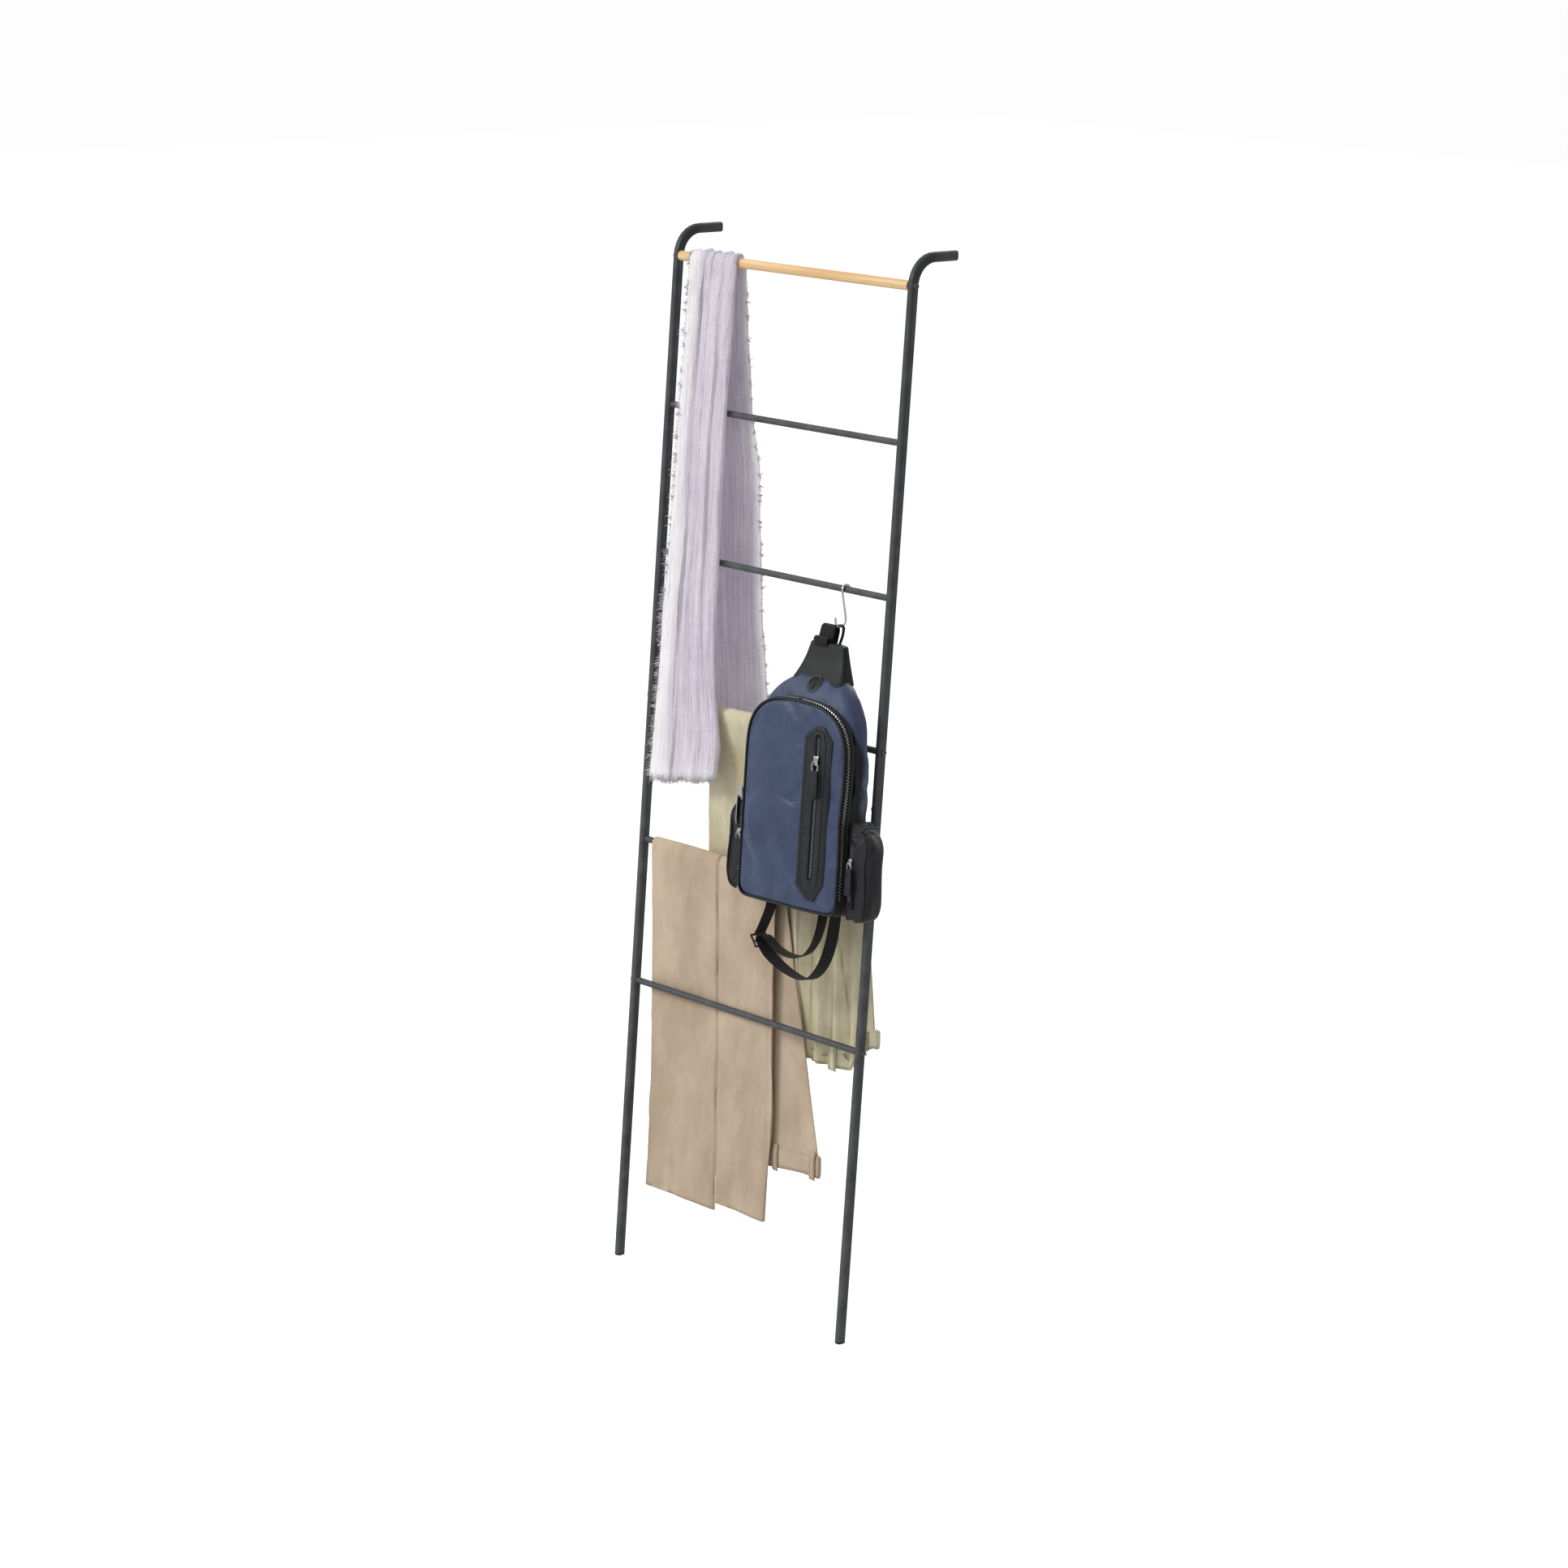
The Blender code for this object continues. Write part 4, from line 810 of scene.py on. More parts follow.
def throwPath():
    # rows of y, z, left x, right x and share of the way to the back, from the front hem up
    clear = throw["offBar"]

    def onRungs(z):
        return z * math.tan(lean) - throw["offRungs"]

    rows = [(onRungs(0.768) - 0.006, 0.768, -0.2300, -0.0745, 0),
            (onRungs(0.82) - 0.006, 0.82, -0.2285, -0.0720, 0),
            (onRungs(0.90) - 0.0055, 0.90, -0.2270, -0.0885, 0),
            (onRungs(1.00) - 0.004, 1.00, -0.2250, -0.0990, 0),
            (onRungs(rung[3].z) - 0.0006, rung[3].z, -0.2230, -0.1075, 0),
            (onRungs(1.22) - 0.0008, 1.22, -0.2205, -0.1105, 0),
            (onRungs(rung[2].z) - 0.0006, rung[2].z, -0.2190, -0.1125, 0),
            (onRungs(1.45) - 0.001, 1.45, -0.2160, -0.1115, 0),
            (bar.y - clear - 0.0002, bar.z - 0.02, -0.2150, -0.1100, 0)]
    for k in range(1, 8):
        turn = math.radians(180 - 180 * k / 8)
        rows.append((bar.y + clear * math.cos(turn), bar.z + clear * math.sin(turn),
                     -0.2150, -0.1105, k / 8))
    rows += [(bar.y + clear + 0.0003, bar.z - 0.02, -0.2130, -0.1120, 1),
             (bar.y + clear + 0.0008, 1.44, -0.2100, -0.1065, 1),
             (bar.y + clear + 0.0012, 1.34, -0.2060, -0.0965, 1),
             (bar.y + clear + 0.0012, 1.25, -0.2040, -0.0775, 1),
             (bar.y + clear + 0.0012, 1.13, -0.2015, -0.0705, 1),
             (bar.y + clear + 0.0012, 1.02, -0.1995, -0.0640, 1),
             (bar.y + clear + 0.0012, 0.90, -0.1975, -0.0470, 1),
             (bar.y + clear + 0.0012, 0.803, -0.1960, -0.0450, 1)]
    return rows


# across the throw: share of the width and height off the rungs in mm, front then back
throwFolds = [
    ((-0.010, 3.0), (0.02, 11.0)), ((0.060, 4.4), (0.06, 10.0)), ((0.140, 3.6), (0.12, 8.0)),
    ((0.205, 4.6), (0.18, 9.5)), ((0.255, 9.5), (0.23, 12.5)), ((0.300, 12.6), (0.28, 12.0)),
    ((0.335, 11.0), (0.33, 8.0)), ((0.350, 7.0), (0.37, 6.0)), ((0.385, 5.6), (0.41, 8.0)),
    ((0.440, 9.4), (0.46, 12.0)), ((0.480, 10.6), (0.51, 11.0)), ((0.515, 8.6), (0.55, 7.0)),
    ((0.560, 8.0), (0.60, 6.5)), ((0.620, 11.6), (0.65, 9.5)), ((0.680, 13.4), (0.70, 11.0)),
    ((0.735, 12.2), (0.75, 9.0)), ((0.775, 8.8), (0.79, 7.0)), ((0.825, 8.6), (0.83, 8.5)),
    ((0.885, 11.4), (0.88, 10.0)), ((0.945, 11.6), (0.92, 9.0)), ((0.990, 9.0), (0.945, 7.0)),
    ((1.000, 5.5), (0.950, 5.4)), ((0.960, 2.9), (0.90, 4.4)), ((0.700, 2.2), (0.66, 3.6)),
    ((0.400, 2.2), (0.40, 3.4)), ((0.130, 2.2), (0.14, 3.2)), ((0.085, 1.6), (0.07, 2.4)),
    ((0.140, 0.9), (0.12, 1.3)), ((0.420, 0.8), (0.42, 1.9)), ((0.700, 0.8), (0.66, 0.9)),
    ((0.900, 0.8), (0.84, 2.4)), ((0.960, 0.9), (1.00, 1.2))]


def makeThrow():
    rows, pale = [], []
    wide = throw["wide"]
    steps = hangingPath(np.array(throwPath()), 900, throw["rowStep"])
    end = steps[-1][0]
    for s, (y, z), ahead, out, (left, right, back) in steps:
        nearBar = math.exp(-((z - bar.z) / 0.05) ** 2)
        low = easeIn((1.15 - z) / 0.35) * (1 - back)
        sag = 1 - 0.42 * nearBar
        points = []
        for j, (front, rear) in enumerate(throwFolds):
            u = between(front[0], rear[0], easeIn(back))
            near = 8.6 + (front[1] - 8.6) * 0.62 if 2 <= j < 20 else front[1]
            d = between(near, rear[1], easeIn(back))
            free = 1.0 if j < 21 else 0.25
            u += free * 0.030 * wobble(j * 0.9, s * 4.0, 3.0) * (1 - 0.7 * nearBar)
            d = 0.9 + (d - 0.9) * sag * (1 + 0.34 * free * wobble(j * 1.3, s * 5.0, 9.0))
            d *= 1 + 0.12 * low
            points.append((u, d / 1000))
        across = curveThrough(np.array(points) * (right - left, 1.0), wide)
        row = []
        for j, (u, d) in enumerate(across):
            t = j / (wide - 1)
            crinkle = sum(size * wobble(u * a, s * b, c) for size, a, b, c in throw["crinkles"])
            d = max(d + crinkle, 0.0007)
            hem = 0.0
            if s == 0:
                hem = 0.004 * wobble(t * 22, 1.7) - 0.002
            elif s == end:
                hem = 0.004 * wobble(t * 22, 8.7)
            # the front hem rises towards the middle of the rack
            lift = throw["hemRise"] * u / (right - left) * max(0.0, 1 - s / throw["hemRiseFrom"])
            row.append((left + u, y + out[0] * d + hem * ahead[0] * 0.3,
                        z + out[1] * d + hem * ahead[1] + lift))
            edge = math.exp(-(t / 0.085) ** 2) * 0.95 + math.exp(-((1 - t) / 0.03) ** 2) * 0.7
            edge *= 1 - 0.35 * abs(wobble(t * 30, s * 14, 4.0))
            ends = math.exp(-(s / 0.020) ** 2) + math.exp(-((end - s) / 0.016) ** 2)
            pale.append(min(1.0, edge + 0.45 * ends * (0.7 + 0.6 * wobble(t * 60, s * 30))))
        rows.append(row)
    piece = clothSkin("throwCloth", rows, finishes["lilac_gauze"], marks={"paleEdge": pale})
    step = piece.modifiers.new("thick", "SOLIDIFY")
    step.thickness = throw["thickness"]
    step.offset = 0
    applyAll(piece)
    finishPiece(piece, "throw", "lilac_gauze", "throw_cloth")
    threads = makeFringe(rows)
    finishPiece(threads, "throw", "lilac_gauze")


fringe = {
    "girth": 0.00055,
    "shortest": 0.0020,
    "knotGirth": 0.0010,
    "knotThreads": 7,
    "hemColumns": 96,
    "rearFrom": 52,
}


def makeFringe(rows):
    # frayed threads: tufts down both long edges and along the two hems
    grid = np.array(rows)
    work = bmesh.new()
    rng = np.random.default_rng(7)

    def strand(root, way, side, size, girth):
        points = [np.array(root)]
        bend = rng.normal(0, 0.45, 3)
        for k in range(1, 5):
            step = way + side * 0.35 * math.sin(k * 1.4 + bend[0]) + bend * 0.14 * k
            points.append(points[-1] + step / np.linalg.norm(step) * size / 4)
        ring = []
        for k, p in enumerate(points):
            wide = girth * (1 - 0.16 * k)
            flatWay = np.cross(way, side)
            flatWay /= max(np.linalg.norm(flatWay), 1e-9)
            ring.append([work.verts.new(p + wide * (math.cos(a) * side + math.sin(a) * flatWay))
                         for a in (0, 2.094, 4.189)])
        for a, b in zip(ring, ring[1:]):
            for j in range(3):
                k = (j + 1) % 3
                work.faces.new((a[j], a[k], b[k], b[j]))
        work.faces.new(ring[0][::-1])
        work.faces.new(ring[-1])

    def edgeRun(line, away, every, reach, tuft):
        steps = lengthsAlong(line)
        s = 0.0
        while s < steps[-1]:
            clump = 0.5 + 0.5 * wobble(s * 55, tuft)
            root = pointAt(s, steps, line)
            later = pointAt(s + 0.002, steps, line)
            along = (later - root) / max(np.linalg.norm(later - root), 1e-9)
            size = reach * (0.30 + 1.25 * clump ** 2) * rng.uniform(0.6, 1.25)
            way = away + 0.5 * rng.normal(0, 0.4) * along + np.array([0, 0, -0.25])
            strand(root - away * 0.0008, way / np.linalg.norm(way), along,
                   max(size, fringe["shortest"]), fringe["girth"])
            s += every * rng.uniform(0.5, 1.5)

    def knots(line, away, every, size):
        # small bunched ends that stand out from the edge
        steps = lengthsAlong(line)
        s = every * 0.4
        while s < steps[-1]:
            root = pointAt(s, steps, line)
            for _ in range(fringe["knotThreads"]):
                spread = rng.normal(0, 0.75, 3)
                way = away * rng.uniform(0.5, 1.2) + spread
                strand(root + rng.normal(0, 0.0010, 3), way / np.linalg.norm(way),
                       np.array([0.0, 0.3, 0.95]), size * rng.uniform(0.6, 1.3),
                       fringe["knotGirth"])
            s += every * rng.uniform(0.35, 1.9)

    edge = grid[:, 0]
    rear = grid[len(rows) * fringe["rearFrom"] // 100:, -1]
    hem = grid[0, :fringe["hemColumns"]]
    for line, away, every, size in ((edge, (-1.0, -0.45, -0.1), 0.019, 0.0078),
                                    (rear, (1.0, -0.3, 0.0), 0.021, 0.0068),
                                    (hem, (0.0, -0.2, -1.0), 0.012, 0.0062)):
        knots(line, np.array(away), every, size)
    for line, away, every, reach, tuft in (
            (edge, (-1.0, -0.45, 0.0), 0.00115, 0.0120, 3.3),
            (rear, (1.0, -0.1, 0.0), 0.0014, 0.0095, 8.1),
            (hem, (0.0, 0.0, -1.0), 0.00085, 0.0110, 5.5),
            (grid[-1], (0.0, 0.0, -1.0), 0.0010, 0.0095, 6.5)):
        edgeRun(line, np.array(away), every, reach, tuft)
    piece = pieceFrom("throwFringe", work, finishes["lilac_gauze"])
    piece.data.uv_layers.new(name="clothUv")
    made = piece.data.attributes.new("paleEdge", "FLOAT", "POINT")
    made.data.foreach_set("value", np.full(len(piece.data.vertices), 0.92))
    return piece


makeThrow()
print("throw ready")


# trousers

def gauss(x, centre, width):
    return math.exp(-((x - centre) / width) ** 2)


def trouserLeg(name, path, thick, outer, inner, finish, wide=44, rowStep=0.008, seamsAndShade=(),
               lowest=None):
    # one flattened leg folded over its rung: path rows hold y, z, left x, right x
    rows, seamAndShadeMarks = [], []
    steps = hangingPath(np.array(path, float), 700, rowStep)
    for s, (y, z), _, out, (left, right) in steps:
        row, marks = [], []
        for side in (1, -1):
            for j in range(wide):
                t = j / (wide - 1) if side > 0 else 1 - j / (wide - 1)
                rim = max(math.sin(math.pi * t), 0.0) ** 0.35
                x = between(left, right, t)
                fold = outer(x, z, s) if side > 0 else inner(x, z)
                d = thick * (0.5 + side * 0.5 * rim) + fold
                up = max(z, lowest(x)) if lowest and s < 0.15 else z
                row.append((x, y + out[0] * d, up + out[1] * d))
                mark = [gauss(x, at(z), width) * part(z) for at, width, part in seamsAndShade]
                marks.append(max(mark, default=0.0) if side > 0 else 0.0)
        rows.append(row)
        seamAndShadeMarks.append(marks)
    piece = clothSkin(name, rows, finish, wrap=True, ends=True,
                      marks={"seamAndShadeMark": seamAndShadeMarks})
    faceOut(piece)
    return piece, steps[-1][0]


def overRung(at, clear, left, right, steps=8):
    rows = []
    for k in range(steps + 1):
        turn = math.radians(180 - 180 * k / steps)
        rows.append((at.y + clear * math.cos(turn), at.z + clear * math.sin(turn),
                     left, right))
    return rows


def waistBand(name, low, high, front, back, xs, loopsAt, finish):
    # a folded waistband along x with sewn loops; low and high give z at x
    rows, marks = [], []
    for x in xs:
        a, b = low(x), high(x)
        y0, y1 = front(x), back(x)
        ring, mark = [], []
        steps = 10
        for k in range(steps + 1):
            z = between(a, b, k / steps)
            puff = 0.0008 * math.sin(math.pi * k / steps)
            ring.append((x, y0 - puff, z))
            mark.append(max(gauss(k / steps, 0.09, 0.03), gauss(k / steps, 0.93, 0.03)))
        for k in range(steps + 1):
            z = between(b, a, k / steps)
            ring.append((x, y1 + 0.0006 * math.sin(math.pi * k / steps), z))
            mark.append(0.0)
        rows.append(ring)
        marks.append(mark)
    band = clothSkin(name, rows, finish, wrap=True, ends=True, marks={"seamAndShadeMark": marks})
    faceOut(band)
    smoothOnce(band)
    loops = []
    for k, (x, width) in enumerate(loopsAt):
        a, b = low(x) - 0.0035, high(x) + 0.0035
        y = front(x)
        line, marks = [], []
        for q in range(13):
            f = q / 12
            lift = 0.0004 + 0.0022 * math.sin(math.pi * f) ** 0.5
            shift = 0.0006 * wobble(x * 90, f * 3)
            ring, mark = [], []
            for p in range(7):
                g = p / 6
                ring.append((x + (g - 0.5) * width + shift, y - (lift + 0.0010),
                             between(a, b, f)))
                mark.append(1.0 if p in (1, 5) else 0.0)
            for p in range(7):
                g = 1 - p / 6
                ring.append((x + (g - 0.5) * width + shift, y - (lift - 0.0003),
                             between(a, b, f)))
                mark.append(0.0)
            line.append(ring)
            marks.append(mark)
        loop = clothSkin(name + "Loop%d" % k, line, finish, wrap=True, ends=True,
                         marks={"seamAndShadeMark": marks})
        faceOut(loop)
        loops.append(loop)
    return joinPieces(name, [band] + loops)


khaki = {
    "gap": 0.0058,
    "thick": 0.0046,
    "frontY": 0.0598,
    "backY": 0.0606,
    "waistLow": 0.398,
    "hemLow": 0.435,
    # height, place across and width of each fold that falls to the waist
    "folds": ((0.0042, 0.088, 0.012), (-0.0050, 0.119, 0.0045), (0.0058, 0.141, 0.012),
              (-0.0014, 0.160, 0.006), (0.0034, 0.176, 0.010), (-0.0022, 0.199, 0.005),
              (0.0044, 0.222, 0.016), (-0.0030, 0.058, 0.006), (0.0030, 0.020, 0.018),
              (-0.0018, -0.030, 0.012), (0.0016, -0.085, 0.016)),
    # place, width and top of the painted shade in the gaps between those folds, drawn as dark
    # lines
    "gapShade": ((0.119, 0.0036, 0.66), (0.160, 0.0024, 0.60), (0.199, 0.0022, 0.56),
             (0.0860, 0.0045, 0.70)),
    "band": (-0.116, 0.2630),
    "loops": ((-0.07, 0.011), (0.03, 0.011), (0.119, 0.011), (0.173, 0.016), (0.240, 0.010)),
}


def khakiOuter(x, z, s):
    # soft folds that gather towards the waist
    r4 = rung[4]
    if s > khaki["turn"]:
        return 0.0009 * wobble(x * 30, z * 5, 6)
    drop = easeIn((r4.z - z) / 0.40)
    folds = sum(height * gauss(x, at, width) for height, at, width in khaki["folds"])
    top = 0.0016 * wobble(x * 24, z * 7, 1.5) + 0.0010 * wobble(x * 9, z * 22, 7.5)
    deep = 1.0 + 0.55 * easeIn((x - 0.10) / 0.06)
    return 1.5 * folds * drop * deep + 1.8 * top * (0.35 + 0.65 * drop) \
        + 0.0004 * wobble(x * 90, z * 60)


def khakiInner(x, z):
    return 0.0003 * wobble(x * 40, z * 18, 3)


def khakiLow(x):
    rise = easeIn((x - 0.196) / 0.060)
    return khaki["waistLow"] - 0.004 + 0.048 * rise + 0.003 * wobble(x * 16, 4.0)


def makeKhaki():
    r4 = rung[4]
    gap = khaki["gap"]
    sides = {
        "left": (lambda z: -0.127 + 0.010 * (r4.z - z) / 0.45,
                 lambda z: 0.0545 + 0.045 * (r4.z - z) / 0.45),
        "right": (lambda z: 0.0556 + 0.045 * (r4.z - z) / 0.45,
                  lambda z: 0.205 + 0.052 * max(0.0, r4.z - z) / 0.45)}
    for side, (xl, xr) in sides.items():
        rows = [(khaki["frontY"], z, xl(z), xr(z))
                for z in (0.408, 0.50, 0.60, 0.70, 0.80)]
        rows.append((0.0528, 0.855, xl(0.855), xr(0.855)))
        rows += overRung(r4, gap, xl(r4.z), xr(r4.z))
        khaki["turn"] = lengthsAlong(np.array(rows)[:, :2])[-1] - 0.018
        for z in (0.85, 0.70, 0.55, khaki["hemLow"]):
            rows.append((khaki["backY"], z, xl(r4.z) + 0.004,
                         xr(r4.z) - 0.004 - 0.02 * (r4.z - z)))
        seamsAndShade = []
        if side == "right":
            seamsAndShade = [(lambda z: 0.205 - 0.030 * (z - 0.44) / 0.18, 0.0011, lambda z: 1.0)]
            # the gaps between folds get painted shade: dark lines through the same mark as the
            # seams
            for at, width, top in khaki["gapShade"]:
                seamsAndShade.append((lambda z, at=at: at + 0.004 * wobble(z * 9, at * 50), width,
                              lambda z, top=top: 0.85 * easeIn((top - z) / 0.12)))
        leg, length = trouserLeg("khakiLeg" + side.title(), rows, khaki["thick"], khakiOuter,
                                 khakiInner, finishes["khaki_twill"], 60, 0.007, seamsAndShade,
                                 lambda x: khakiLow(x) + 0.012)
        finishPiece(leg, "khaki_trousers", "khaki_twill", "khaki_%s_leg" % side)

    def high(x):
        return khakiLow(x) + 0.036 - 0.006 * easeIn((x - 0.20) / 0.05)

    def front(x):
        return khaki["frontY"] - 0.0062 - khakiOuter(x, 0.43, 0.0) * 0.9

    def back(x):
        return min(front(x) + 0.0058, khaki["frontY"] - 0.0002)

    band = waistBand("khakiBand", khakiLow, high, front, back,
                     np.linspace(*khaki["band"], 96), khaki["loops"], finishes["khaki_twill"])
    finishPiece(band, "khaki_trousers", "khaki_twill", "khaki_waistband")


makeKhaki()

beige = {
    "gap": 0.0058,
    "thick": 0.0046,
    "nearY": 0.0376,
    "hemLow": 0.112,
    "waistLow": 0.212,
    "band": (-0.232, 0.1500),
    "loops": ((-0.17, 0.011), (-0.05, 0.011), (0.055, 0.011), (0.137, 0.012)),
}


def beigeOuter(x, z, s):
    r5 = rung[5]
    if s > beige["turn"]:
        drop = easeIn((r5.z - z) / 0.3)
        return 0.0016 * drop * wobble(x * 26, z * 4, 8)
    drop = easeIn((r5.z - z) / 0.12)
    slant = 0.0056 * wobble((x + z * 0.55) * 17, (z - x * 0.4) * 6, 2.2)
    wide = 0.0034 * wobble(x * 7, z * 6, 5.1) + 0.0011 * wobble(x * 22, z * 14, 9.4)
    crease = -0.0016 * gauss(x, -0.0709, 0.0022)
    soft = -0.0014 * gauss(x, 0.048, 0.005) + 0.0010 * gauss(x, -0.150, 0.020)
    belowRung = 0.0010 * gauss(z, rung[6].z - 0.03, 0.03) * wobble(x * 30, 3.0)
    return drop * (slant + wide + soft + belowRung) + crease + 0.0003 * wobble(x * 80, z * 60)


def beigeInner(x, z):
    return -0.0002 + 0.0003 * wobble(x * 40, z * 18, 3)


def makeBeige():
    r5 = rung[5]
    gap = beige["gap"]
    near = beige["nearY"]
    spans = {"left": (-0.2260, -0.0711), "right": (-0.0707, 0.0540)}
    waist = {"left": (lambda z: -0.222 - 0.010 * (r5.z - z) / 0.45,
                      lambda z: -0.0714 + 0.040 * (r5.z - z) / 0.45),
             "right": (lambda z: -0.0704 + 0.040 * (r5.z - z) / 0.45,
                       lambda z: 0.056 + 0.098 * (r5.z - z) / 0.45)}
    for side in ("left", "right"):
        x0, x1 = spans[side]
        hem = beige["hemLow"] + (0.013 if side == "right" else 0.001)
        rows = [(near + 0.0006, hem, x0 - (0.008 if side == "left" else 0),
                 x1 - (0.010 if side == "right" else 0)),
                (near + 0.0004, 0.30, x0, x1), (near, rung[6].z, x0, x1),
                (near - 0.0010, 0.56, x0, x1),
                (r5.y - gap - 0.0002, 0.64, x0, x1 + (0.006 if side == "right" else 0))]
        if side == "right":
            x1 = 0.060
        rows += overRung(r5, gap, x0, x1)
        beige["turn"] = lengthsAlong(np.array(rows)[:, :2])[-1] - 0.018
        wl, wr = waist[side]
        for z in (0.64, 0.55, 0.45, 0.35, beige["waistLow"] + 0.030):
            rows.append((r5.y + gap + 0.0002, z, wl(z), wr(z)))
        edge = -0.0728 if side == "left" else -0.0690
        seamsAndShade = [(lambda z, edge=edge: edge, 0.0011, lambda z: 1.0)]
        leg, length = trouserLeg("beigeLeg" + side.title(), rows, beige["thick"], beigeOuter,
                                 beigeInner, finishes["beige_twill"], 60, 0.007, seamsAndShade)
        finishPiece(leg, "beige_trousers", "beige_twill", "beige_%s_leg" % side)
    face = r5.y + gap

    def low(x):
        return beige["waistLow"] - 0.006 + 0.010 * easeIn((x + 0.02) / 0.16) \
            + 0.002 * wobble(x * 14, 2.0)

    def high(x):
        return low(x) + 0.036

    band = waistBand("beigeBand", low, high, lambda x: face - 0.0004 + 0.0012 * wobble(x * 20, 6),
                     lambda x: face + 0.0056 + 0.0012 * wobble(x * 20, 6),
                     np.linspace(*beige["band"], 96), beige["loops"], finishes["beige_twill"])
    finishPiece(band, "beige_trousers", "beige_twill", "beige_waistband")


makeBeige()
print("trousers ready")

# the S-hook

hook = {"wire": 0.00175, "lowerLoop": 0.0100, "rungRadius": 0.0050, "gap": 0.0003,
        "behind": 0.0100}


def makeHook():
    x = middle("s_hook").x
    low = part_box("s_hook")[0]
    r3 = rung[3]
    reach = hook["rungRadius"] + hook["gap"] + hook["wire"]
    loop = hook["lowerLoop"]
    lowerY, lowerZ = r3.y - hook["behind"], low[2] + loop + hook["wire"]
    points = []
    for turn in (-50, -20, 10, 40, 70, 100, 130, 160, 184):
        a = math.radians(turn)
        points.append((x, r3.y + reach * math.cos(a), r3.z + reach * math.sin(a)))
    points.append((x, r3.y - reach + 0.0004, r3.z - 0.008))
    points.append((x, lowerY + loop - 0.0006, lowerZ + 0.006))
    for turn in (0, -25, -50, -75, -90, -105, -130, -155, -180):
        a = math.radians(turn)
        points.append((x, lowerY + loop * math.cos(a), lowerZ + loop * math.sin(a)))
    points.append((x, lowerY - loop - 0.0008, lowerZ + 0.005))
    piece = roundCord("hookWire", points, hook["wire"], finishes["polished_wire"], 4,
                      count=110)
    finishPiece(piece, "hook", "polished_wire", "s_hook")


makeHook()
print("hook ready")

# the bag, made in its own upright frame (across, depth, up) and then tilted

bag = {
    "rearHalf": 0.1085,
    "rearDepth": 0.0560,
    "frontHalf": 0.1045,
    "frontTop": 0.297,
    "frontDepth": 0.0152,
    "fromRung": (0.002, -0.0395, -0.4538),
    "toothStep": 0.0024,
    "webWidth": 0.022,
    "webThick": 0.0016,
}
frontZip = {"across": 0.053, "half": 0.0300, "top": 0.268, "low": 0.0135, "slot": 0.0045,
            "slider": 0.2190}
bagTilt = Matrix(((1, 0, 0), (0, math.cos(lean), math.sin(lean)),
                  (0, -math.sin(lean), math.cos(lean)))).to_4x4()
bagPlace = Matrix.Translation(Vector((middle("s_hook").x, rung[3].y, rung[3].z))
                              + Vector(bag["fromRung"])) @ bagTilt
rimV = -(bag["rearDepth"] + 0.0013)
faceV = rimV - bag["frontDepth"]


def settle(piece):
    piece.data.transform(bagPlace)
    piece.data.update()
    return piece


def bagPiece(piece, slotName, *nodes, body="bag"):
    return finishPiece(settle(piece), body, slotName, *nodes)


def softRing(half, depth, power, count, u0, vBack):
    ring = []
    for k in range(count):
        a = 2 * math.pi * (k + 0.5) / count
        c, s = math.cos(a), math.sin(a)
        bend = power if s < 0 else min(1.0, power + 0.34)
        ring.append((u0 + half * math.copysign(abs(c) ** bend, c),
                     vBack - depth / 2 + depth / 2 * math.copysign(abs(s) ** bend, s)))
    return ring


def makeRear():
    # at each height, the shares of half width and depth, and the middle across
    levels = [(-0.006, 0.80, 0.86, 0.0), (-0.003, 0.90, 0.93, 0.0), (0.010, 0.97, 1.0, 0.0),
              (0.040, 1.0, 1.0, 0.0), (0.100, 1.0, 1.0, 0.0), (0.205, 1.0, 1.0, 0.0),
              (0.245, 0.965, 1.0, -0.001), (0.275, 0.905, 0.99, -0.002),
              (0.294, 0.800, 0.94, -0.002), (0.308, 0.690, 0.83, -0.002),
              (0.318, 0.585, 0.70, -0.002), (0.327, 0.475, 0.55, -0.003),
              (0.338, 0.370, 0.40, -0.005), (0.356, 0.310, 0.27, -0.007)]
    levels = [(w, a * bag["rearHalf"], d * bag["rearDepth"], u) for w, a, d, u in levels]
    line = curveThrough(levels, 84)
    rows = []
    for w, half, depth, u0 in line:
        ring = softRing(half, depth, 0.50, 112, u0, -0.0012)
        row = []
        for k, (u, v) in enumerate(ring):
            turn = k / len(ring)
            high = easeIn((w - 0.23) / 0.07) * (1 - easeIn((w - 0.345) / 0.02))
            pull = 0.0022 * high * wobble(math.cos(2 * math.pi * turn) * 2.6,
                                          math.sin(2 * math.pi * turn) * 2.6, w * 10)
            sag = 0.0020 * wobble(math.cos(2 * math.pi * turn) * 1.2,
                                  math.sin(2 * math.pi * turn) * 1.2, w * 22)
            grow = 1 + (pull + sag) / max(half, 0.04)
            row.append((u0 + (u - u0) * grow, v + (0.3 * pull if v < -0.03 else 0.0), w))
        rows.append(row)
    ink = []
    for row in rows:
        for u, v, w in row:
            reach = between(0.0240, 0.0030, easeIn((w - 0.225) / 0.06))
            front = easeIn((-bag["rearDepth"] + reach - v) / 0.0040)
            low = easeIn((0.148 + 0.10 * (v + 0.05) - w) / 0.003)
            ink.append(max(front, low if abs(u) > 0.07 or w < 0.01 else 0.0))
    piece = clothSkin("bagRear", rows, finishes["navy_nylon"], wrap=True, ends=True,
                      marks={"inkMark": ink})
    faceOut(piece)
    rest = np.array([tuple(p.co) for p in piece.data.vertices])
    fixed = np.where((rest[:, 2] > 0.350) | (rest[:, 2] < 0.012) |
                     ((rest[:, 1] < -0.053) & (rest[:, 2] < 0.285)))[0]
    relaxCloth(piece, fixed, 16, pressure=1.6, looser=0.012, cap=0.0045, bending=0.15)
    smoothOnce(piece)
    bagPiece(piece, "navy_nylon", "bag_rear_compartment")


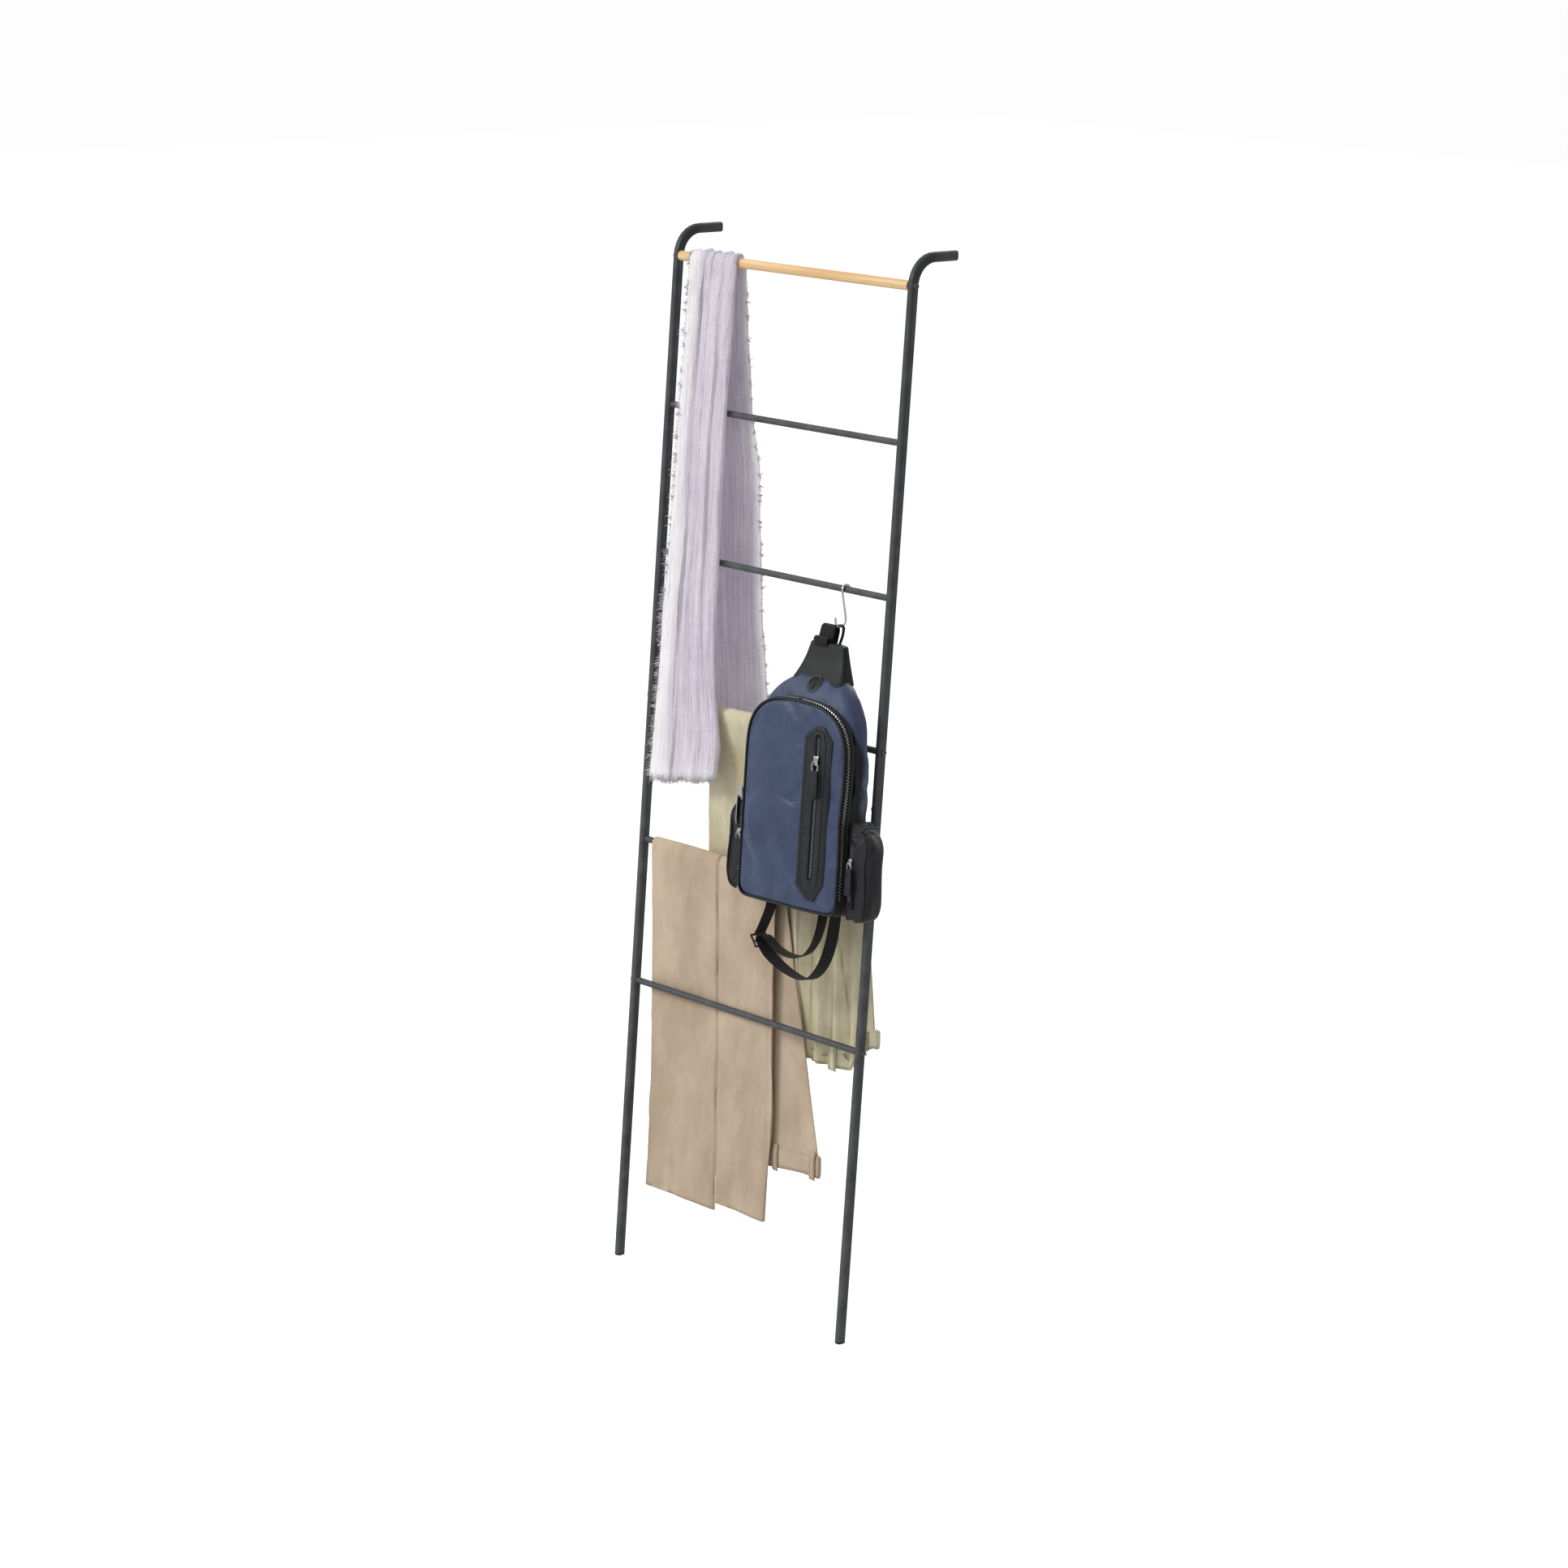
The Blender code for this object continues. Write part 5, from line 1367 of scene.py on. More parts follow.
def frontOutline(inset, count=104):
    half = bag["frontHalf"] - inset
    pts = [(-half + 0.020, -0.0060 + inset), (-0.03, -0.0052 + inset), (0.03, -0.0040 + inset),
           (half - 0.020, -0.0015 + inset), (half - 0.006, 0.0020 + inset),
           (half - 0.001, 0.0110 + inset), (half, 0.035)]
    shoulder = 0.215
    pts += [(half - 0.0010, 0.09), (half - 0.0030, 0.14), (half - 0.0005, 0.18)]
    for k in range(13):
        a = math.pi * k / 12
        c, s = math.cos(a), math.sin(a)
        pts.append((half * math.copysign(abs(c) ** 0.70, c),
                    shoulder + (bag["frontTop"] - inset - shoulder) * abs(s) ** 0.80))
    pts += [(-half, 0.18), (-half, 0.14), (-half, 0.09), (-half, 0.035),
            (-half + 0.001, 0.0080 + inset), (-half + 0.006, -0.0020 + inset)]
    return curveThrough(pts, count, closed=True)


def makeFront():
    centre = np.array([0.0, 0.150])
    rows = []
    for v, inset in ((rimV + 0.0004, 0.0004), (rimV - 0.0040, 0.0004), (rimV - 0.0080, 0.0008),
                     (rimV - 0.0110, 0.0016)):
        rows.append([(u, v, w) for u, w in frontOutline(inset)])
    rim = frontOutline(0.0030)
    for f in np.linspace(0, 1, 34)[:-1]:
        row = []
        for u, w in rim:
            p = between(np.array([u, w]), centre, f ** 1.05)
            p = between(p, np.array([p[0] * 0.985, p[1]]), 0.3)
            crown = 0.0034 * (1 - (1 - min(f * 2.6, 1.0)) ** 2)
            gather = 0.0016 * math.exp(-((p[1] - 0.002) / 0.022) ** 2) * wobble(p[0] * 130, 2.0) \
                * min(f * 14, 1.0)
            crease = 0.0034 * wobble((p[0] + p[1] * 0.6) * 24, (p[1] - p[0] * 0.5) * 9, 3.0) \
                + 0.0016 * wobble(p[0] * 20, p[1] * 26, 6.0)
            quiet = 1 - gauss(p[0], frontZip["across"], 0.030)
            row.append((p[0], rimV - 0.0122 - crown + (gather + crease) * min(f * 6, 1.0)
                        * (0.25 + 0.75 * quiet), p[1]))
        rows.append(row)
    piece = clothSkin("bagFront", rows, finishes["navy_nylon"], wrap=True, ends=True)
    faceOut(piece)
    rest = np.array([tuple(p.co) for p in piece.data.vertices])
    zipFlat = (np.abs(rest[:, 0] - frontZip["across"]) < 0.033) & (rest[:, 2] < 0.275)
    fixed = np.where((rest[:, 1] > rimV - 0.0125) | zipFlat)[0]
    relaxCloth(piece, fixed, 16, pressure=0.9, looser=0.02, cap=0.0024, bending=0.12)
    smoothOnce(piece)
    bagPiece(piece, "navy_nylon", "bag_front_compartment")


def toothRow(name, line, out, size, finish, step=None, both=True):
    # metal zip teeth along a line of points; out gives each point's outward way
    line = np.array(line, float)
    far = lengthsAlong(line)
    work = bmesh.new()
    step = step or bag["toothStep"]
    count = int(far[-1] / step)
    wide, tall, deep = size
    for k in range(count):
        s = (k + 0.5) * step
        p = pointAt(s, far, line)
        q = pointAt(s + 0.0005, far, line)
        run = (q - p) / max(np.linalg.norm(q - p), 1e-9)
        face = out(p)
        face = np.array(face) / np.linalg.norm(face)
        cross = np.cross(run, face)
        shift = (0.28 if k % 2 else -0.28) * wide if both else 0.0
        base, top = [], []
        for a, b in ((-1, -1), (1, -1), (1, 1), (-1, 1)):
            at = p + cross * (a * wide / 2 + shift) + run * b * tall / 2
            base.append(work.verts.new(at))
            top.append(work.verts.new(p + cross * (a * wide * 0.36 + shift)
                                      + run * b * tall * 0.30 + face * deep))
        work.faces.new(base[::-1])
        work.faces.new(top)
        for j in range(4):
            i = (j + 1) % 4
            work.faces.new((base[j], base[i], top[i], top[j]))
    return pieceFrom(name, work, finish)


def stitches(name, line, out, pitch, finish, closed=True, girth=0.00032):
    # short thread stitches that lie on a surface
    line = np.array(line, float)
    if closed:
        line = np.vstack([line, line[:1]])
    return toothRow(name, line, out, (girth * 2, pitch * 0.62, girth * 1.4), finish,
                    step=pitch, both=False)


def ribbonRing(name, line, offsets, finish):
    # closed band round a loop: offsets are (outward, depth) corners
    line = np.array(line)
    ahead = np.roll(line, -1, axis=0) - np.roll(line, 1, axis=0)
    ahead /= np.linalg.norm(ahead, axis=1, keepdims=True)
    side = np.column_stack([ahead[:, 1], -ahead[:, 0]])
    rows = []
    for (u, w), (nu, nw) in zip(line, side):
        rows.append([(u + nu * o, v, w + nw * o) for o, v in offsets])
    rows.append(rows[0])
    piece = clothSkin(name, rows, finish, wrap=True)
    faceOut(piece)
    return piece


def makeBodyZip():
    outline = frontOutline(0.0, 150)
    band = ribbonRing("bagZipBand", outline,
                      [(0.0006, rimV - 0.0112), (0.0022, rimV - 0.0108), (0.0026, rimV - 0.0085),
                       (0.0018, rimV - 0.0075), (0.0022, rimV - 0.0040), (0.0030, rimV - 0.0010),
                       (0.0034, rimV + 0.0030), (0.0010, rimV + 0.0036)],
                      finishes["zip_coil"])
    bagPiece(band, "zip_coil", "bag_body_zip")
    centre = np.array([0, 0.15])
    # the teeth stop at the corners of the bottom edge
    keep = [p for p in np.roll(outline, -np.argmin(outline[:, 1] + outline[:, 0]), axis=0)
            if p[1] > 0.022]
    order = sorted(keep, key=lambda p: math.atan2(p[0], 0.12 - p[1]))
    line = []
    for p in order:
        way = p - centre
        way = np.array([way[0], way[1] * 0.4 if p[1] > 0.2 else 0.0])
        way /= np.linalg.norm(way)
        line.append((p[0] + way[0] * 0.0021, rimV - 0.0058, p[1] + way[1] * 0.0021))

    def out(p):
        way = np.array([p[0], 0.0, (p[2] - 0.15) * (1.2 if p[2] > 0.2 else 0.0)])
        return way if np.linalg.norm(way) > 1e-6 else np.array([0, 0, 1.0])

    teeth = toothRow("bagZipTeeth", line, out, (0.0036, 0.0014, 0.0013), finishes["zip_metal"])
    bagPiece(teeth, "zip_metal")
    loops = []
    for k, (inset, v, size) in enumerate(((0.0000, rimV - 0.0122, 0.0016),
                                          (-0.0022, rimV + 0.0034, 0.0013))):
        loops.append(roundCord("piping%d" % k, [(u, v, w) for u, w in frontOutline(inset, 110)],
                               size, finishes["black_leather"], 3, closed=True, count=220))
    piping = joinPieces("bagPiping", loops)
    bagPiece(piping, "black_leather")


def makeSlider(name, where, size, finish, turn=0.0):
    # a zip slider: waisted body, rounded over, with a bridge on top
    wide, deep, tall = size
    deselectAll()
    bpy.ops.mesh.primitive_cube_add(size=1, location=(0, 0, 0))
    body = bpy.context.object
    body.name = name
    body.scale = (wide, deep, tall)
    bpy.ops.object.transform_apply(location=False, rotation=False, scale=True)
    bpy.ops.object.mode_set(mode="EDIT")
    bpy.ops.mesh.subdivide(number_cuts=2)
    bpy.ops.object.mode_set(mode="OBJECT")
    for point in body.data.vertices:
        # broad shoulders at the top, narrow towards the tail
        f = point.co.z / tall + 0.5
        point.co.x *= 0.62 + 0.38 * f
        if abs(point.co.z) < tall * 0.3 and point.co.y < 0:
            point.co.y -= deep * 0.16
    roundEdges(body, deep * 0.22, 2)
    deselectAll()
    bpy.ops.mesh.primitive_torus_add(major_segments=20, minor_segments=8,
                                     major_radius=tall * 0.24, minor_radius=deep * 0.16,
                                     location=(0, -deep * 0.55, tall * 0.02),
                                     rotation=(0, math.pi / 2, 0))
    bridge = bpy.context.object
    bpy.ops.object.transform_apply(location=True, rotation=True, scale=True)
    body.data.materials.clear()
    piece = joinPieces(name, [body, bridge])
    piece.data.materials.clear()
    piece.data.materials.append(finish)
    shadeByAngle(piece)
    piece.data.transform(Matrix.Translation(where) @ Matrix.Rotation(turn, 4, "Z"))
    return piece


def makeTab(name, outline, v0, v1, finish, edge=0.0005, hole=None):
    # flat leather shape from an outline in (u, w), with soft edges
    work = bmesh.new()
    loop = [work.verts.new((u, v0, w)) for u, w in outline]
    if hole is not None:
        inner = [work.verts.new((u, v0, w)) for u, w in hole]
        count = len(loop)
        faces = [work.faces.new((loop[j], loop[(j + 1) % count], inner[(j + 1) % count],
                                 inner[j])) for j in range(count)]
    else:
        faces = [work.faces.new(loop)]
    grown = bmesh.ops.extrude_face_region(work, geom=faces)
    for item in grown["geom"]:
        if isinstance(item, bmesh.types.BMVert):
            item.co.y = v1
    piece = pieceFrom(name, work, finish)
    roundEdges(piece, edge, 3, math.radians(50))
    shadeByAngle(piece)
    return piece


def tabOutline(u, top, low, half):
    # a pull tab: squared top, slightly flared rounded end
    right = [(half * 0.86, top), (half, between(top, low, 0.25)),
             (half * 1.04, low + half * 0.5), (half * 0.7, low)]
    return [(u - right[0][0], top)] + [(u + a, w) for a, w in right] \
        + [(u - a, w) for a, w in right[:0:-1]]


def towardsFront(_):
    return (0, -1, 0)


def makeLink(name, u, v, w, size, wire, steps, count, finish):
    # an open wire ring that holds a pull tab
    wide, tall = size
    ring = [(u + wide * math.sin(a), v, w + tall * math.cos(a))
            for a in (math.radians(20 + 320 * k / steps) for k in range(steps + 1))]
    return roundCord(name, ring, wire, finish, 3, count=count)


def makeFrontZip():
    z = frontZip
    u, half = z["across"], z["half"]
    outer = [(u - 0.008, z["low"]), (u + 0.008, z["low"]), (u + half - 0.003, 0.040),
             (u + half - 0.003, 0.150), (u + half - 0.003, 0.250), (u + 0.009, z["top"]),
             (u - 0.009, z["top"]), (u - half, 0.250), (u - half, 0.150), (u - half, 0.032)]
    s = z["slot"] * 1.15
    inner = [(u - s, 0.044), (u + s, 0.044), (u + s, 0.0450), (u + s, 0.150), (u + s, 0.2555),
             (u + s, 0.2565), (u - s, 0.2565), (u - s, 0.2555), (u - s, 0.150), (u - s, 0.0450)]
    v0 = faceV - 0.0003
    v1 = v0 - 0.0016
    plate = makeTab("zipSurround", outer, v0 + 0.0020, v1 + 0.0003, finishes["black_leather"],
                    0.0006, inner)
    inset = [(u - 0.0035, z["low"] + 0.006), (u + 0.0035, z["low"] + 0.006),
             (u + half - 0.0060, 0.036), (u + half - 0.0060, 0.246), (u + 0.006, z["top"] - 0.006),
             (u - 0.006, z["top"] - 0.006), (u - half + 0.0050, 0.246), (u - half + 0.0050, 0.036)]
    raised = [(u - 0.0085, 0.029), (u + 0.0085, 0.029), (u + 0.0160, 0.042), (u + 0.0160, 0.243),
              (u + 0.0085, 0.2600), (u - 0.0085, 0.2600), (u - 0.0160, 0.243), (u - 0.0160, 0.042)]
    well = [(u - s, 0.044), (u + s, 0.044), (u + s, 0.046), (u + s, 0.2545), (u + s, 0.2565),
            (u - s, 0.2565), (u - s, 0.2545), (u - s, 0.046)]
    step = makeTab("zipLip", raised, v1 + 0.0004, v1 - 0.0006, finishes["black_leather"],
                   0.0004, well)
    plate = joinPieces("zipSurround", [plate, step])
    bagPiece(plate, "black_leather", "front_zip_surround")

    thread = stitches("zipStitches",
                      curveThroughCorners([(a, v1 + 0.0002, b) for a, b in inset]),
                      towardsFront, 0.0034, finishes["black_webbing"])
    bagPiece(thread, "black_webbing")
    tape = makeTab("frontZipTape", [(u - 0.0050, 0.0445), (u + 0.0050, 0.0445),
                                    (u + 0.0050, 0.2560), (u - 0.0050, 0.2560)],
                   v0 + 0.0016, v0 - 0.0003, finishes["zip_coil"], 0.0002)
    bagPiece(tape, "zip_coil")
    line = [(u, v0 - 0.0003, w) for w in np.linspace(0.047, 0.253, 40)]
    teeth = toothRow("frontZipTeeth", line, towardsFront, (0.0030, 0.0013, 0.0011),
                     finishes["zip_metal"])
    bagPiece(teeth, "zip_metal")
    fz = v1 - 0.0003
    slider = makeSlider("frontSlider", (u, fz - 0.0015, z["slider"]), (0.0105, 0.0034, 0.0135),
                        finishes["zip_metal"])
    bagPiece(slider, "zip_metal", "front_zip_slider", body="front_slider")
    ringV = fz - 0.0030 - 0.0003 - 0.0008
    link = makeLink("frontRing", u, ringV, z["slider"] - 0.0090, (0.0062, 0.0085), 0.0012,
                    14, 44, finishes["zip_metal"])
    bagPiece(link, "zip_metal", "front_zip_ring", body="front_pull")
    w = z["slider"]
    tab = makeTab("frontTab", tabOutline(u, w - 0.0145, w - 0.0555, 0.0092), ringV - 0.0010,
                  ringV - 0.0034, finishes["black_leather"], 0.0005)
    hem = stitches("tabStitches", curveThroughCorners(
        [(a, ringV - 0.0032, b) for a, b in tabOutline(u, w - 0.0170, w - 0.0533, 0.0072)]),
        towardsFront, 0.0026, finishes["black_webbing"], girth=0.0003)
    bagPiece(tab, "black_leather", "front_zip_tab", body="front_pull")
    bagPiece(hem, "black_webbing", body="front_pull")


def curveThroughCorners(points, each=10):
    # straight runs between the corners, evenly stepped
    out = []
    pts = [np.array(p) for p in points]
    for a, b in zip(pts, pts[1:] + pts[:1]):
        out += [between(a, b, k / each) for k in range(each)]
    return np.array(out)


bodyPull = {
    "slider": 0.1425,
    "sliderSize": (0.0084, 0.0085, 0.0160),
    # distance in front of the rim, and height
    "outline": [(0.0092, 0.1400), (0.0038, 0.1400), (0.0028, 0.134), (0.0028, 0.102),
                (0.0042, 0.0945), (0.0090, 0.0945), (0.0104, 0.102), (0.0104, 0.134)],
    "thick": 0.0018,
}


def makeBodyPull():
    leftU = -(bag["frontHalf"] + 0.0043)
    slider = makeSlider("bodySlider", (leftU - 0.0066, rimV - 0.0064, bodyPull["slider"]),
                        bodyPull["sliderSize"], finishes["zip_metal"], -math.pi / 2)
    bagPiece(slider, "zip_metal", "body_zip_slider", body="body_slider")
    pullU = leftU - 0.0112
    outline = [(rimV - v, w) for v, w in bodyPull["outline"]]
    tab = makeTab("bodyPull", outline, 0.0, bodyPull["thick"], finishes["zip_metal"], 0.0003)
    # the outline was drawn in (depth, up), so it is turned to face left
    tab.data.transform(Matrix(((0, -1, 0, pullU), (1, 0, 0, 0), (0, 0, 1, 0), (0, 0, 0, 1))))
    faceOut(tab)
    bagPiece(tab, "zip_metal", "body_zip_pull", body="body_pull")


pocket = {
    "gap": 0.0005,
    # outline seen from above: distance out from the bag and share of its depth
    "section": [(-0.002, 0.18), (-0.002, 0.60), (-0.001, 0.93), (0.014, 1.0), (0.034, 0.985),
                (0.0445, 0.90), (0.0475, 0.66), (0.0430, 0.38), (0.025, 0.19)],
    # height and share of the outline there
    "levels": [(-0.0055, 0.42), (-0.003, 0.70), (0.004, 0.88), (0.020, 0.985), (0.045, 1.01),
               (0.080, 1.0), (0.100, 0.97), (0.116, 0.88), (0.128, 0.70), (0.1355, 0.40)],
    "middle": -0.034,
    "zipAcross": 0.011,
    "zipRun": (0.024, 0.106),
    "slider": 0.0812,
    "sliderSize": (0.0076, 0.0026, 0.0105),
    "ring": 0.0762,
    "ringSize": (0.0042, 0.0062),
    "tab": (0.0725, 0.0325, 0.0062),
}


def pocketWaist(w):
    # the soft hollow half way up a pocket
    return -0.0042 * gauss(w, 0.074, 0.022)


def makePockets():
    section = [(du, -f * bag["rearDepth"]) for du, f in pocket["section"]]
    line = curveThrough(pocket["levels"], 46)
    base = curveThrough(section, 76, closed=True)
    start = bag["rearHalf"] + pocket["gap"]
    v0 = pocket["middle"]
    for side, sign in (("left", -1), ("right", 1)):
        rows = []
        for w, g in line:
            row = []
            for k, (du, v) in enumerate(base):
                turn = 2 * math.pi * k / len(base)
                dent = 0.0016 * wobble(math.cos(turn) * 1.5 + sign, math.sin(turn) * 1.5, w * 34)
                waist = pocketWaist(w) * easeIn(du / 0.03)
                out = max(du, 0.0) * g + (dent + waist if du > 0.004 else 0.0)
                # the top slopes down towards the outside
                rise = w - 0.20 * max(du, 0.0) * easeIn((w - 0.09) / 0.04)
                vv = v0 + (v - v0) * (0.66 + 0.34 * g) + 0.3 * dent
                row.append((sign * (start + min(du, 0.0) + out), vv, rise))
            rows.append(row)
        piece = clothSkin("bagPocket" + side.title(), rows, finishes["ink_nylon"], wrap=True,
                          ends=True)
        faceOut(piece)
        rest = np.array([tuple(p.co) for p in piece.data.vertices])
        fixed = np.where(np.abs(rest[:, 0]) < start + 0.004)[0]
        relaxCloth(piece, fixed, 12, pressure=0.8, looser=0.015, cap=0.0022, bending=0.1)
        smoothOnce(piece)
        bagPiece(piece, "ink_nylon", "bag_%s_pocket" % side)
        trim = []
        for w, g in line:
            if g < 0.5:
                continue
            trim.append((sign * (start + 0.0385 * g + pocketWaist(w)),
                         v0 - 0.0205 * (0.66 + 0.34 * g),
                         w - 0.0077 * easeIn((w - 0.09) / 0.04)))
        for v in np.linspace(-0.044, -0.020, 5):
            trim.append((sign * (start + 0.0215), v, 0.1310))
        edging = roundCord("pocketTrim" + side.title(), trim, 0.0015,
                           finishes["black_leather"], 3, count=90)
        bagPiece(edging, "black_leather")
        u = sign * (start + pocket["zipAcross"])
        v = -0.99 * bag["rearDepth"] - 0.0012
        tape = makeTab(side + "PocketTape", [(u - 0.0062, 0.014), (u + 0.0062, 0.014),
                                             (u + 0.0066, 0.108), (u - 0.0066, 0.108)],
                       v + 0.0016, v - 0.0002, finishes["zip_coil"], 0.0003)
        bagPiece(tape, "zip_coil", "%s_pocket_zip" % side)
        teeth = toothRow(side + "PocketTeeth",
                         [(u, v - 0.0001, w) for w in np.linspace(*pocket["zipRun"], 20)],
                         towardsFront, (0.0026, 0.0013, 0.0010), finishes["zip_metal"])
        bagPiece(teeth, "zip_metal")
        sv = v - 0.0017
        slider = makeSlider(side + "PocketSlider", (u, sv - 0.0013, pocket["slider"]),
                            pocket["sliderSize"], finishes["zip_metal"])
        bagPiece(slider, "zip_metal", "%s_pocket_slider" % side, body=side + "_slider")
        tv = sv - 0.0031
        link = makeLink(side + "PocketRing", u, tv - 0.0004, pocket["ring"], pocket["ringSize"],
                        0.0008, 12, 36, finishes["zip_metal"])
        bagPiece(link, "zip_metal", body=side + "_tab")
        tab = makeTab(side + "PocketTab", tabOutline(u, *pocket["tab"]), tv,
                      tv - 0.0020, finishes["black_leather"], 0.0004)
        bagPiece(tab, "black_leather", "%s_pocket_tab" % side, body=side + "_tab")


# height, half width, depth and middle of the leather sleeve
patchLevels = [(0.3225, 0.0535, 0.0385, -0.0022), (0.3300, 0.0505, 0.0335, -0.0028),
               (0.3420, 0.0460, 0.0265, -0.0042), (0.3560, 0.0410, 0.0205, -0.0058),
               (0.3700, 0.0370, 0.0170, -0.0070), (0.3775, 0.0352, 0.0150, -0.0075)]


def makeTopPatch():
    # a leather sleeve that tapers from the top of the bag to the webbing
    line = curveThrough(patchLevels, 20)
    rows = []
    for w, half, depth, u0 in line:
        ring = softRing(half, depth, 0.30, 80, u0, 0.0006)
        rows.append([(u, v + 0.0006 * wobble(u * 60, w * 60), w) for u, v in ring])
    rim = rows[0]
    under = [((u - line[0][3]) * 0.97 + line[0][3], (v + 0.015) * 0.95 - 0.015, w)
             for u, v, w in rim]
    rows.insert(0, under)
    piece = clothSkin("topPatch", rows, finishes["black_leather"], wrap=True, ends=True)
    faceOut(piece)
    smoothOnce(piece)
    bagPiece(piece, "black_leather", "bag_anchor_patch")
    w0, half0, depth0, mid0 = line[1]
    ring = softRing(half0 + 0.0001, depth0 + 0.0002, 0.30, 80, mid0, 0.0007)
    thread = stitches("patchStitches", [(u, v, w0 + 0.0006) for u, v in ring],
                      lambda p: (p[0] + 0.006, p[1] + 0.015, 0.0), 0.0032,
                      finishes["black_webbing"], girth=0.0004)
    bagPiece(thread, "black_webbing")


def webRibbon(name, line, across, width, thick, finish, count=90, twist=None):
    # webbing along a line, its width along across, with ribbed rounded edges
    pts = curveThrough(line, count)
    rows = []
    for k, p in enumerate(pts):
        a, b = pts[max(k - 1, 0)], pts[min(k + 1, len(pts) - 1)]
        run = (b - a) / np.linalg.norm(b - a)
        side = np.array(across, float)
        if twist:
            turn = twist(k / (len(pts) - 1))
            flat = np.cross(run, side)
            side = side * math.cos(turn) + flat * math.sin(turn)
        side -= run * side.dot(run)
        side /= np.linalg.norm(side)
        up = np.cross(run, side)
        row = []
        for q in range(20):
            ang = 2 * math.pi * q / 20
            c, s = math.cos(ang), math.sin(ang)
            row.append(p + side * (width / 2) * math.copysign(abs(c) ** 0.35, c)
                       + up * (thick / 2) * math.copysign(abs(s) ** 0.6, s))
        rows.append(row)
    piece = clothSkin(name, rows, finish, wrap=True, ends=True)
    faceOut(piece)
    return piece


handleWay = {
    "across": -0.0190,
    "back": [(0.0000, 0.3660), (0.0030, 0.3760), (0.0056, 0.3880), (0.0064, 0.3970),
             (0.0030, 0.4016), (-0.0020, 0.3985), (-0.0046, 0.3900), (-0.0068, 0.3820),
             (-0.0090, 0.3760), (-0.0105, 0.3690)],
    "fold": [(-0.0060, 0.3690), (-0.0085, 0.3790), (-0.0125, 0.3845), (-0.0160, 0.3820),
             (-0.0165, 0.3760), (-0.0150, 0.3700)],
}


def makeWebbing():
    web = finishes["black_webbing"]
    back, fold = [webRibbon(name, [(handleWay["across"], v, w) for v, w in handleWay[way]],
                            (1, 0, 0), width, thick, web, count)
                  for name, way, width, thick, count in
                  (("handleBack", "back", 0.0300, 0.0022, 90),
                   ("handleFold", "fold", 0.0294, 0.0020, 50))]
    handle = joinPieces("webHandle", [back, fold])
    bagPiece(handle, "black_webbing", "bag_handle")
    # the narrow loop that the hook goes through follows its solid
    low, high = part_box("bag_hang_loop")
    inverse = bagPlace.inverted()
    top = inverse @ Vector(((low[0] + high[0]) / 2, (low[1] + high[1]) / 2, high[2]))
    hole = 0.0062
    u0 = middle("s_hook").x - bagPlace.translation.x
    vTop = (inverse @ Vector((0, rung[3].y - hook["behind"], rung[3].z - 0.0585))).y
    loop = []
    for du, w, f in ((hole + 0.0012, 0.3655, 0.0), (hole + 0.0009, 0.376, 0.35),
                     (hole + 0.0008, 0.388, 0.85)):
        loop.append((u0 + du, vTop * f - 0.004 * (1 - f), w))
    for k in range(0, 7):
        a = math.pi * k / 6
        loop.append((u0 + (hole + 0.0008) * math.cos(a), vTop,
                     top.z - 0.0008 - 0.0050 + 0.0050 * math.sin(a)))
    for du, w, f in ((-hole - 0.0008, 0.388, 0.85), (-hole - 0.0009, 0.376, 0.35),
                     (-hole - 0.0012, 0.3655, 0.0)):
        loop.append((u0 + du, vTop * f - 0.004 * (1 - f), w))
    hang = webRibbon("hangLoop", loop, (0, 1, 0), 0.0052, 0.0016, web, 80)
    bagPiece(hang, "black_webbing", "bag_hang_loop")


strapWay = {
    "depth": -0.028,
    "short": [(-0.0720, -0.0050), (-0.0735, -0.0110), (-0.0755, -0.0250), (-0.0850, -0.0480),
              (-0.0960, -0.0700)],
    "long": [(0.0635, -0.0050), (0.0620, -0.0170), (0.0570, -0.0500), (0.0460, -0.0830),
             (0.0280, -0.1080), (0.0080, -0.1180), (-0.0150, -0.1165), (-0.0450, -0.1080),
             (-0.0700, -0.0960), (-0.0840, -0.0830), (-0.0885, -0.0775), (-0.0885, -0.0725),
             (-0.0845, -0.0700), (-0.0780, -0.0722), (-0.0600, -0.0830), (-0.0380, -0.0890),
             (-0.0150, -0.0890), (0.0070, -0.0800), (0.0240, -0.0600), (0.0340, -0.0350),
             (0.0390, -0.0120), (0.0405, -0.0050)],
}


def makeStraps():
    web = finishes["black_webbing"]
    v = strapWay["depth"]
    short = webRibbon("strapShort", [(u, v, w) for u, w in strapWay["short"]], (0, 1, 0),
                      bag["webWidth"], bag["webThick"], web, 40)
    bagPiece(short, "black_webbing", "strap_short")
    long = webRibbon("strapLong", [(u, v + 0.0020 * math.sin(k * 0.5), w)
                                   for k, (u, w) in enumerate(strapWay["long"])], (0, 1, 0),
                     bag["webWidth"], bag["webThick"], web, 190,
                     twist=lambda f: 0.16 * math.sin(9 * f))
    bagPiece(long, "black_webbing", "strap_long")


buckle = {"long": 0.0190, "wide": 0.0280, "wire": 0.0016, "barWire": 0.0014,
          "way": (0.62, 0, -0.78), "place": (-0.0935, -0.0795)}


